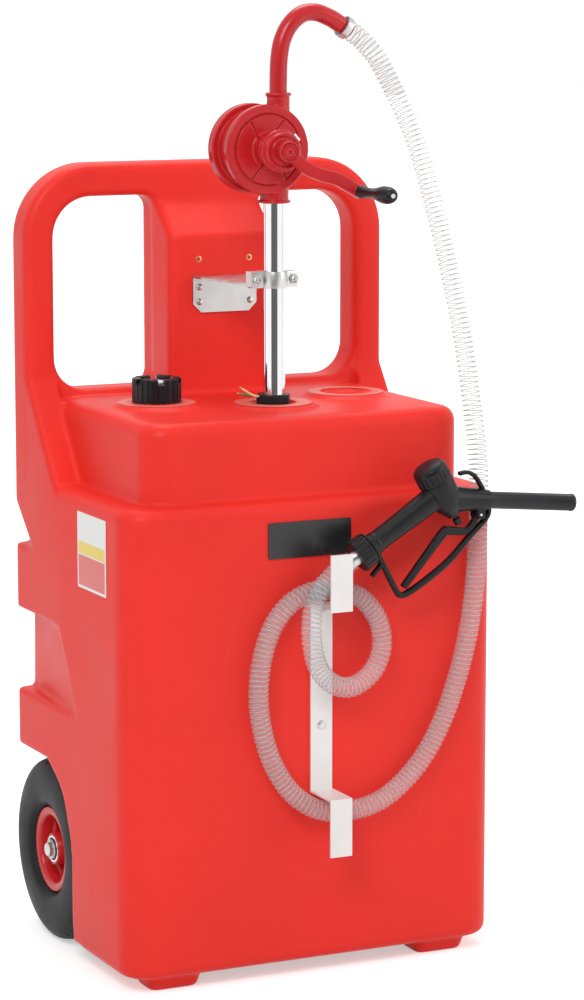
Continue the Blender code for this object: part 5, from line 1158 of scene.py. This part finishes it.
WIRES = (
    (
        "cream", CREAM_WIRE,
        (
            (-0.0256, -0.187, 0.7862), (-0.034, -0.188, 0.788), (-0.044, -0.1895, 0.7935),
            (-0.052, -0.1905, 0.7985),
        ),
    ),
    (
        "green", GREEN_WIRE,
        (
            (-0.0256, -0.1805, 0.7862), (-0.035, -0.1815, 0.7866), (-0.045, -0.183, 0.789),
            (-0.053, -0.184, 0.791),
        ),
    ),
)


def wires():
    for word, finish, points in WIRES:
        path = smooth_path(points, 6)
        sleeve = skin(round_path(path, 0.0015, 16))
        piece(f"wire_{word}", sleeve, finish, "caddy", f"earth_wire_{word}", slot=f"wire_{word}")
        ahead = (path[-1] - path[-2]).normalized()
        end = [path[-1] + ahead * 0.0004, path[-1] + ahead * 0.0048]
        piece(f"wire_end_{word}", skin(round_path(end, 0.0009, 12)), BRASS, "caddy")


# Wheels and axle
AXLE_RADIUS = 0.01
HUB_LENGTH = 0.024
RIM_BARREL = 0.0497
TREADS = 44
TREAD_DEPTH = 0.0016
RIBS = 5
TYRE_LINE = (
    (0.0617, 0.0221), (0.065, 0.0282), (0.072, 0.0332), (0.091, 0.035), (0.108, 0.0334), (0.118, 0.0302),
    (0.1255, 0.0245), (0.1288, 0.017), (0.13, 0.009),
)


def tyre(name, body, node, place):
    half = [(p.x, p.y) for p in smooth_path([(r, x, 0) for r, x in TYRE_LINE], 3)]
    half = [(min(r, WHEEL_RADIUS), min(x, WHEEL_WIDTH / 2)) for r, x in half]
    line = [(0.05, 0.0235), *half, (0.13, 0.0022), (0.1284, 0.0012)]
    line += [(r, -x) for r, x in reversed(line)]
    sides = TREADS * 4
    rings = []
    for r, x in line:
        depth = TREAD_DEPTH if 0.1225 < r and abs(x) > 0.004 else 0
        shift = 0 if x > 0 else 2
        ring = []
        for k in range(sides):
            reach = r - (depth if (k + shift) % 4 == 0 else 0)
            turn = 2 * math.pi * k / sides
            ring.append((reach * math.cos(turn), reach * math.sin(turn), x))
        rings.append(ring)
    piece(name, skin([*rings, rings[0]], False), RUBBER, body, node, place=place, slot="rubber", sharp=50)


def rim_half(name, body, node, place, hub):
    line = [(0.0605, 0.0245), (0.06, 0.0258), (0.0588, 0.0263), (0.0545, 0.0263), (0.051, 0.0258)]
    line += [(0.0487, 0.0242), (0.0474, 0.0215), (0.047, 0.008), (0.0458, 0.0048), (0.043, 0.003)]
    line += [(0.034, 0.0026), (0.0335, 0.004), (0.031, 0.0045), (0.0275, 0.0045), (0.0242, 0.0055)]
    line += [
        (0.0228, 0.008), (0.0226, hub - 0.0012), (0.022, hub - 0.0003), (0.0206, hub), (0.02, hub - 0.0005),
    ]
    line += [(0.02, 0.00015), (RIM_BARREL, 0.00015), (RIM_BARREL, 0.0238), (0.0605, 0.0238)]
    piece(name, turned(line, 96), RIM_RED, body, node, place=place, slot="rim_red", sharp=50)


def rim_rib(name, body, place, turn):
    outline = [(0.023, 0.0052), (0.0466, 0.0052), (0.0466, 0.011), (0.033, 0.0118), (0.023, 0.0165)]
    rib = layered(rounded(outline, [0, 0, 0.001, 0.004, 0.001], 4), eased(-0.0016, 0.0016, 0.0008))
    piece(name, rib, RIM_RED, body, place=spun(place, turn) @ Matrix.Rotation(math.pi / 2, 4, "X"))


def bearing(name, body, node, place, end):
    """A race with its dark seal sunk between the two rings."""
    race = ((0.0103, -0.0108), (0.0197, -0.0108), (0.0197, -0.001), (0.0192, -0.0002), (0.0166, -0.0002))
    race += ((0.0163, -0.0022), (0.0137, -0.0022), (0.0134, -0.0005), (0.0106, -0.0005), (0.0103, -0.001))
    seal = ((0.0138, -0.0021), (0.0162, -0.0021), (0.0161, -0.0011), (0.015, -0.0008), (0.0139, -0.0011))
    piece(name, turned(from_level(end, race)), CHROME, body, node, place=place)
    piece(f"{name}_seal", turned(from_level(end, seal)), SEAL_AND_SHADE, body, place=place)


def split_pin(word, x):
    """A looped pin through the axle, its two legs turned apart."""
    bends = ((0.0007, 0), (0.0007, 0.008), (0.0019, 0.0105), (0.0017, 0.0126), (0.0008, 0.0136))
    for side, part, nodes in ((-1, "a", [f"split_pin_{word}"]), (1, "b", [])):
        leg = [(0.0004, -0.0125 - 0.001 * side), *bends]
        path = smooth_path([(x + side * shift, 0, WHEEL_RADIUS + rise) for shift, rise in leg], 4)
        piece(f"pin_{word}_{part}", skin(round_path(path, 0.00068, 10)), ZINC, "caddy", *nodes)


def wheel(side, word):
    centre = side * (WHEEL_OUTER_X - WHEEL_WIDTH / 2)
    place = at(centre, 0, WHEEL_RADIUS) @ ALONG_X
    outward = place @ Matrix.Rotation(0 if side > 0 else math.pi, 4, "X")
    inward = place @ Matrix.Rotation(math.pi if side > 0 else 0, 4, "X")
    body = f"wheel_{word}"
    long_hub = WHEEL_WIDTH / 2 + WHEEL_INNER_ROOM - 2 * GAP
    tyre(f"tyre_tread_{word}", body, f"tyre_{word}", place)
    for part, turn, hub in (("outer", outward, HUB_LENGTH), ("inner", inward, long_hub)):
        rim_half(f"rim_{part}_half_{word}", body, f"rim_{part}_{word}", turn, hub)
        bearing(f"race_{part}_{word}", body, f"bearing_{part}_{word}", turn, hub)
    for i in range(RIBS):
        rim_rib(f"rim_rib_{word}_{i}", body, outward, 2 * math.pi * (i + 0.25) / RIBS)
    washer = turned(rod(0.0135, HUB_LENGTH + GAP, HUB_LENGTH + GAP + 0.002, 0.0004, 0.0103))
    piece(f"axle_plate_{word}", washer, ZINC, "caddy", f"axle_washer_{word}", place=outward)
    split_pin(word, centre + side * (HUB_LENGTH + 0.005))


def axle():
    end = WHEEL_OUTER_X - WHEEL_WIDTH / 2 + HUB_LENGTH + 0.009
    bar = turned(rod(AXLE_RADIUS, -end, end, 0.0015), 48)
    place = at(0, 0, WHEEL_RADIUS) @ ALONG_X
    piece("axle", bar, ZINC, "caddy", "wheel_axle", place=place, slot="zinc_steel")


# Bracket fasteners and the strap
CLAMP_LOW = 0.9345
CLAMP_HIGH = 0.9565
CLAMP_THICK = 0.0025
CLAMP_EAR = 0.034
CLAMP_BOLT_X = 0.0285


def pan_head(radius, thick, steps=5):
    """A low domed head over its seat, as (radius, z) pairs ending on the axis."""
    turns = [math.pi / 2 * i / steps for i in range(steps)]
    return [
        (radius * math.cos(t), GAP + thick * (0.3 + 0.7 * math.sin(t)))
        for t in turns
    ] + [(0, GAP + thick)]


def bracket_fasteners():
    seat = BLOCK_FRONT - GAP - 0.003
    line = [(0, -0.016), (0.0022, -0.014), (0.0022, GAP), (0.0045, GAP), *pan_head(0.0045, 0.0028)]
    places = [(x, z) for x in (-0.039, 0.039) for z in (0.902, 0.923)]
    for i, (x, z) in enumerate(places, 1):
        place = at(x, seat, z) @ TO_FRONT
        piece(f"plate_screw_{i}", turned(line, 32), ZINC, "caddy", f"bracket_screw_{i}", place=place)
    line = [
        (0.002, -0.012), (0.0045, -0.012), (0.0045, 0.0001), (0.0041, 0.0004), (0.0028, 0.0004),
        (0.002, -0.0008),
    ]
    # A dark plug sunk in each insert's bore: painted shade for the hole.
    shade_plug = [(0, -0.0118), (0.0019, -0.0118), (0.0019, -0.003), (0, -0.0032)]
    for word, x in (("left", -0.039), ("right", 0.039)):
        place = at(x, BLOCK_FRONT, 0.962) @ TO_FRONT
        piece(
            f"brass_insert_{word}", turned(line, 32), BRASS, "caddy", f"insert_{word}", place=place,
            slot="brass",
        )
        piece(f"insert_thread_{word}", turned(shade_plug, 24), SEAL_AND_SHADE, "caddy", place=place)


def strap():
    inner = TUBE_RADIUS + GAP
    outer = inner + CLAMP_THICK
    rear = TUBE_Y - GAP
    flat = rear - CLAMP_THICK
    lean = math.degrees(math.asin(CLAMP_THICK / outer))
    front_arc = arc((0, TUBE_Y), outer, 180 + lean, 360 - lean, 40)
    back_arc = arc((0, TUBE_Y), inner, 359, 181, 40)
    outline = [
        (-CLAMP_EAR, rear), (-CLAMP_EAR, flat), *front_arc, (CLAMP_EAR, flat), (CLAMP_EAR, rear), *back_arc,
    ]
    band = solid("strap", layered(outline, [(CLAMP_LOW, 0), (CLAMP_HIGH, 0)]))
    middle = (CLAMP_LOW + CLAMP_HIGH) / 2
    places = [at(side * CLAMP_BOLT_X, flat, middle) @ TO_FRONT for side in (-1, 1)]
    cutters = [plug(0.0033, -0.02, 0.02, place, 32) for place in places]
    boolean(band, cutters, "DIFFERENCE")
    applied(band, cutters)
    bevelled(band, 0.0006, 2)
    finished(applied(band), ZINC, "caddy", "clamp_strap", slot="zinc_steel")
    reach = flat - (TUBE_Y + TUBE_RADIUS + CLAMP_THICK) - CLAMP_THICK
    shank = [
        (0, reach), (0.003, reach), (0.003, GAP), (0.0064, GAP), (0.0066, 0.0007), (0.0064, 0.0013),
        (0, 0.0013),
    ]
    head = [(0.0012, 0), (0.0037, 0), (0.0043, 0.0008)]
    for place, word in zip(places, ("left", "right")):
        bolt = solid(f"strap_bolt_{word}", turned(shank, 48), place)
        top = solid("bolt_head", layered(hexagon(0.0056, 0.0005, 2), head), place)
        finished(joined(bolt, top), ZINC, "caddy", f"clamp_bolt_{word}")


# Nozzle, all in one upright plane
NOZZLE_Y = -0.365
HANDLE_START = (0.064, 0.6035)
HANDLE_END = (0.148, 0.656)
HANDLE_RADIUS = 0.0152
VALVE_CENTRE = (0.163, 0.668)
VALVE_LEAN = 31
NECK_RADIUS = 0.0192
SNOUT_START = (0.17, 0.656)
SNOUT_END = (0.2366, 0.65)
SNOUT_RADIUS = 0.014
SPOUT_TIP = (0.3694, 0.6375)
NOZZLE_SPOUT_RADIUS = 0.0118
NUT_RADIUS = 0.0235
NUT_REAR = 0.0335
NUT_FRONT = 0.0123
TRIGGER_PIVOT = (0.2205, 0.632)
TRIGGER_DEPTH = 0.0055
LUG_HALF = 0.006
LUG_DEPTH = 0.011
GUARD_POINTS = (
    (0.2375, 0.644), (0.2335, 0.6265), (0.206, 0.6005), (0.1781, 0.5724), (0.1475, 0.5508),
    (0.1201, 0.5346), (0.104, 0.5288), (0.095, 0.537), (0.0697, 0.5842), (0.059, 0.604),
)
FIN_POINTS = ((0.191, 0.689), (0.2, 0.6905), (0.209, 0.6885), (0.218, 0.681), (0.232, 0.658))
TRIGGER_POINTS = (
    TRIGGER_PIVOT, (0.2112, 0.6178), (0.2, 0.61), (0.175, 0.612), (0.1635, 0.606), (0.1068, 0.5396),
)
TRIGGER_HALF = (0.0042, 0.004, 0.005, 0.0062, 0.0062, 0.0045)
GUARD_HALF = (0.0034, 0.0034, 0.0037, 0.0044, 0.0046, 0.0046, 0.0042, 0.0038, 0.0036, 0.0036)
PEG_POINTS = ((0.074, 0.5745), (0.066, 0.566), (0.059, 0.558))
PIN_BORE = 0.0023
SPRING_TURNS = 5
SPRING_STEPS = 24
SPRING_RADIUS = 0.0062


def in_plane(points):
    return [(x, NOZZLE_Y, z) for x, z in points]


def spread_along(values, steps):
    """The values between which a smooth path has the given steps, evenly filled in."""
    made = []
    for a, b in zip(values, values[1:]):
        made += [a + (b - a) * k / steps for k in range(steps)]
    return [*made, values[-1]]


def nozzle_place(start, ahead):
    """A place in the nozzle's plane whose Z points ahead."""
    return facing(start[0], NOZZLE_Y, start[1], (ahead[0], 0, ahead[1]))


def way(start, end):
    return (end[0] - start[0], end[1] - start[1])


HANDLE_AXIS = nozzle_place(HANDLE_START, way(HANDLE_START, HANDLE_END))
SPOUT_AXIS = nozzle_place(SNOUT_END, way(SNOUT_END, SPOUT_TIP))
VALVE_AXIS = nozzle_place(
    VALVE_CENTRE, (math.sin(math.radians(VALVE_LEAN)), -math.cos(math.radians(VALVE_LEAN))),
)
PIVOT_AXIS = at(TRIGGER_PIVOT[0], NOZZLE_Y, TRIGGER_PIVOT[1]) @ TO_FRONT


def bar_along(name, points, steps, half_width, half_depth, sides=16, edge=1):
    """A bar in the nozzle's plane; widths are given at its points and filled in between."""
    path = smooth_path(in_plane(points), steps)
    if isinstance(half_width, tuple):
        half_width = spread_along(half_width, steps)
    return solid(name, swept(path, half_width, half_depth, sides, edge))


def nozzle_solids():
    head = [(0, -0.031), (NECK_RADIUS, -0.031), (NECK_RADIUS, -0.016), (0.0232, -0.016), (0.0233, -0.008)]
    head += [
        (0.0226, 0.004), (0.0215, 0.016), (0.019, 0.024), (0.0145, 0.032), (0.0113, 0.037), (0.01, 0.04),
    ]
    span = (Vector(HANDLE_END) - Vector(HANDLE_START)).length
    handle = [(0, -0.0229), (0.0155, -0.0229), (0.0155, -0.012), (0.0225, -0.012), (0.0225, -0.0093)]
    handle += [(0.017, -0.007), (0.0162, -0.005), (0.0162, 0.001), (HANDLE_RADIUS, 0.003)]
    handle += [(HANDLE_RADIUS, span / 3), (0.0172, span), (0, span)]
    radii = spread_along((0.02, 0.0161, SNOUT_RADIUS), 3)
    x, z = TRIGGER_PIVOT
    lug = box_line((x - LUG_HALF, z - LUG_HALF), (x + LUG_HALF, SNOUT_END[1]), 0.003, 4)
    return [
        solid("nozzle", turned([*head, (0, 0.04)]), VALVE_AXIS),
        solid("handle", turned(handle), HANDLE_AXIS),
        solid("snout", swept(smooth_path(in_plane((SNOUT_START, SNOUT_END)), 6), radii, radii, 48, 1)),
        bar_along("guard", GUARD_POINTS, 6, GUARD_HALF, 0.0055, edge=0.7),
        bar_along("fin", FIN_POINTS, 6, 0.0029, 0.005, edge=0.6),
        solid("lug", upright(lug, [(NOZZLE_Y - LUG_DEPTH, 0), (NOZZLE_Y + LUG_DEPTH, 0)])),
        bar_along("peg", PEG_POINTS, 4, 0.0036, 0.0042, edge=0.8),
    ]


def nozzle():
    depth = TRIGGER_DEPTH + GAP
    x, z = TRIGGER_PIVOT
    slot = box_line((x - 0.012, z - 0.0066), (x + 0.0066, z + 0.0048))
    cutters = [
        plug(0.0098, -0.051, 0.028, VALVE_AXIS),
        plug(0.0033, 0, 0.06, VALVE_AXIS),
        plug(NOZZLE_SPOUT_RADIUS + GAP, -0.012, 0.02, SPOUT_AXIS),
        plug(0.008, -0.06, 0, SPOUT_AXIS),
        plug(0.008, -NUT_REAR, 0.09, HANDLE_AXIS),
        plug(PIN_BORE, -0.02, 0.02, PIVOT_AXIS),
        solid("slot", upright(slot, [(NOZZLE_Y - depth, 0), (NOZZLE_Y + depth, 0)])),
    ]
    made = moulded("nozzle", nozzle_solids(), cutters, by_quality(0.0008), 3, 0.4)
    finished(made, BLACK, "caddy", "nozzle_body", slot="black_plastic", sharp=55)


def trigger():
    bar = bar_along("trigger_bar", TRIGGER_POINTS, 6, TRIGGER_HALF, TRIGGER_DEPTH, 20, 0.6)
    eye = plug(TRIGGER_HALF[0], -TRIGGER_DEPTH, TRIGGER_DEPTH, PIVOT_AXIS)
    path = smooth_path(in_plane(TRIGGER_POINTS), 6)[8:-5]
    cutters = []
    for side in (-1, 1):
        moved = [p + Vector((0, side * (TRIGGER_DEPTH + 0.0006), 0)) for p in path]
        cutters.append(solid("groove", swept(moved, 0.003, 0.0013, 12, 0.8)))
    cutters.append(plug(PIN_BORE, -0.02, 0.02, PIVOT_AXIS))
    made = moulded("trigger_bar", [bar, eye], cutters, by_quality(0.0007), 2, 0.45)
    finished(made, BLACK, "trigger", "trigger", slot="black_plastic", sharp=55)


def ribbed(name, line, radius, grooves, low, high, place, bore):
    """A turned body with grooves cut along its side and a hollow inside it."""
    body = solid(name, turned(line, 96), place)
    groove = arc((radius + 0.0008, 0), 0.0022, 0, 330, 11)
    cutters = [solid("bore", turned(bore), place)]
    for i in range(grooves):
        spin = spun(place, 2 * math.pi * i / grooves)
        cutters.append(solid("rib_gap", layered(groove, [(low, 0), (high, 0)]), spin))
    return moulded(name, [body], cutters, by_quality(0.0006), 2, 0.4)


def nozzle_fittings():
    r = NUT_RADIUS
    rear = -NUT_REAR
    front = -NUT_FRONT
    line = [
        (0, rear), (r - 0.0015, rear), (r, rear + 0.0015), (r, front - 0.0018), (r - 0.0015, front - GAP),
    ]
    line.append((0, front - GAP))
    bore = [(0, -0.05), (0.0113, -0.05), (0.0113, -0.029), (0.0178, -0.029), (0.0178, 0.005), (0, 0.005)]
    nut = ribbed("nut", line, r, 16, rear - 0.005, front - 0.004, HANDLE_AXIS, bore)
    finished(nut, BLACK, "hose_nut", "swivel_nut", slot="black_plastic", sharp=55)
    tail = [(0.0085, -0.06), (0.0104, -0.06), (0.0108, -0.059), (0.0104, -0.05), (0.0109, -0.048)]
    tail += [(0.0104, -0.04), (0.0109, -0.038), (0.0109, -0.0287), (0.017, -0.0287), (0.017, -0.0257)]
    tail = turned([*tail, (0.0085, -0.0257)], 48)
    piece("tail", tail, ZINC, "caddy", "hose_tail", place=HANDLE_AXIS, slot="zinc_steel")
    low = -0.0163
    sides = ((0, 0), (0.0241, 0), (0.0243, -0.001), (0.0238, -0.017), (0.0222, -0.0215), (0.019, -0.0242))
    line = from_level(low, [*sides, (0.011, -0.0257), (0, -0.026)])
    bore = rod(0.0195, 0.005, -0.0313)
    ribs = ribbed("valve_cap_ribs", line, 0.0241, 20, low - 0.0165, low - 0.003, VALVE_AXIS, bore)
    finished(ribs, BLACK, "caddy", "valve_cap", slot="black_plastic", sharp=55)
    end = (Vector(SPOUT_TIP) - Vector(SNOUT_END)).length
    r = NOZZLE_SPOUT_RADIUS
    pipe = [(r - 0.002, -0.0117), (r, -0.0117), (r, end - 0.005), (r + 0.0004, end - 0.0045)]
    pipe += [
        (r + 0.0004, end - 0.0012), (r - 0.0004, end - 0.0002), (r - 0.001, end), (r - 0.002, end - 0.001),
    ]
    pipe = turned(pipe, 72)
    piece("nozzle_pipe", pipe, SPOUT_BLACK, "caddy", "nozzle_spout", place=SPOUT_AXIS, slot="spout_black")


def valve_parts():
    """The stem with its disc, the coil spring over it and the pin of the trigger."""
    line = [
        (0, -0.014), (0.0024, -0.014), (0.003, -0.0134), (0.003, 0.018), (0.0082, 0.018), (0.0086, 0.0184),
    ]
    line += [(0.0086, 0.0216), (0.0082, 0.022), (0.003, 0.022), (0.003, 0.0462), (0.0051, 0.0462)]
    line += [(0.0055, 0.0466), (0.0055, 0.0542), (0.0045, 0.0551), (0.00275, 0.0556), (0, 0.0556)]
    piece("stem", turned(line, 40), BLACK, "valve", "valve_stem", place=VALVE_AXIS)
    low = 0.018 - 0.0008 - GAP
    turns = SPRING_TURNS * SPRING_STEPS
    coil = []
    for i in range(turns + 1):
        turn = 2 * math.pi * i / SPRING_STEPS
        x, y = SPRING_RADIUS * math.cos(turn), SPRING_RADIUS * math.sin(turn)
        coil.append(Vector((x, y, low + (-0.016 - low) * i / turns)))
    rings = round_path(coil, 0.0008, 10)
    piece("spring", skin(rings), ZINC, "valve", "valve_spring", place=VALVE_AXIS, sharp=180)
    pin = turned(rod(0.002, -LUG_DEPTH, LUG_DEPTH, 0.0004), 32)
    piece("trigger_pivot", pin, ZINC, "caddy", "trigger_pin", place=PIVOT_AXIS)


# Cleat rivet and the plain label on the tank's side
LABEL_BANDS = (
    (WHITE, 0.536, 0.64, 0.0002, 0.0006),
    (BAND_YELLOW, 0.5835, 0.6, 0.0007, 0.0008),
    (BAND_RED, 0.54, 0.5815, 0.0007, 0.0008),
)


def trim():
    place = at(0.0045, TANK_FRONT - 0.003 - GAP, 0.351) @ TO_FRONT
    line = [(0, -0.006), (0.0028, -0.006), (0.0028, GAP), (0.006, GAP), *pan_head(0.006, 0.0018)]
    piece("rivet", turned(line, 40), ZINC, "caddy", "cleat_rivet", place=place)
    for i, (finish, low, high, start, stop) in enumerate(LABEL_BANDS):
        margin, corner = (0.004, 0.0005) if i else (0, 0.002)
        outline = box_line((-0.249 + margin, low), (-0.149 - margin, high), corner, 4)
        rings = [[(-TANK_HALF - depth, y, z) for y, z in outline] for depth in (start, stop)]
        piece(f"label_{i}", skin(rings), finish, "caddy")


# CAD nodes that keep their shape and get a finish; those with an edge size also get soft edges
KEPT = (
    ("tube_bracket", ZINC, 0.0009),
    ("hose_cleat", CREAM_PAINT, 0.0008),
    ("brand_plate", PLATE, 0.0005),
    ("pump_rotor", ZINC, 0),
    ("rotor_vane", BLACK, 0),
    ("suction_strainer", BLACK, 0),
    ("cap_seal", SEAL_AND_SHADE, 0),
)


def keep_rest():
    """Give every CAD node that still shows its finish."""
    for name, finish, edge in KEPT:
        node = bpy.data.objects[name]
        for slot in node.material_slots:
            slot.material = finish
        if edge:
            bevelled(node, edge, 3, angle_limit=math.radians(30), harden_normals=False)


# Making
studio()
hose()
tank()
pump()
gland_glint()
crank()
grip()
tube()
spout()
cap()
collar()
painted_boss_sheen()
wires()
for side, word in ((-1, "left"), (1, "right")):
    wheel(side, word)
axle()
bracket_fasteners()
strap()
nozzle()
trigger()
nozzle_fittings()
valve_parts()
trim()
keep_rest()
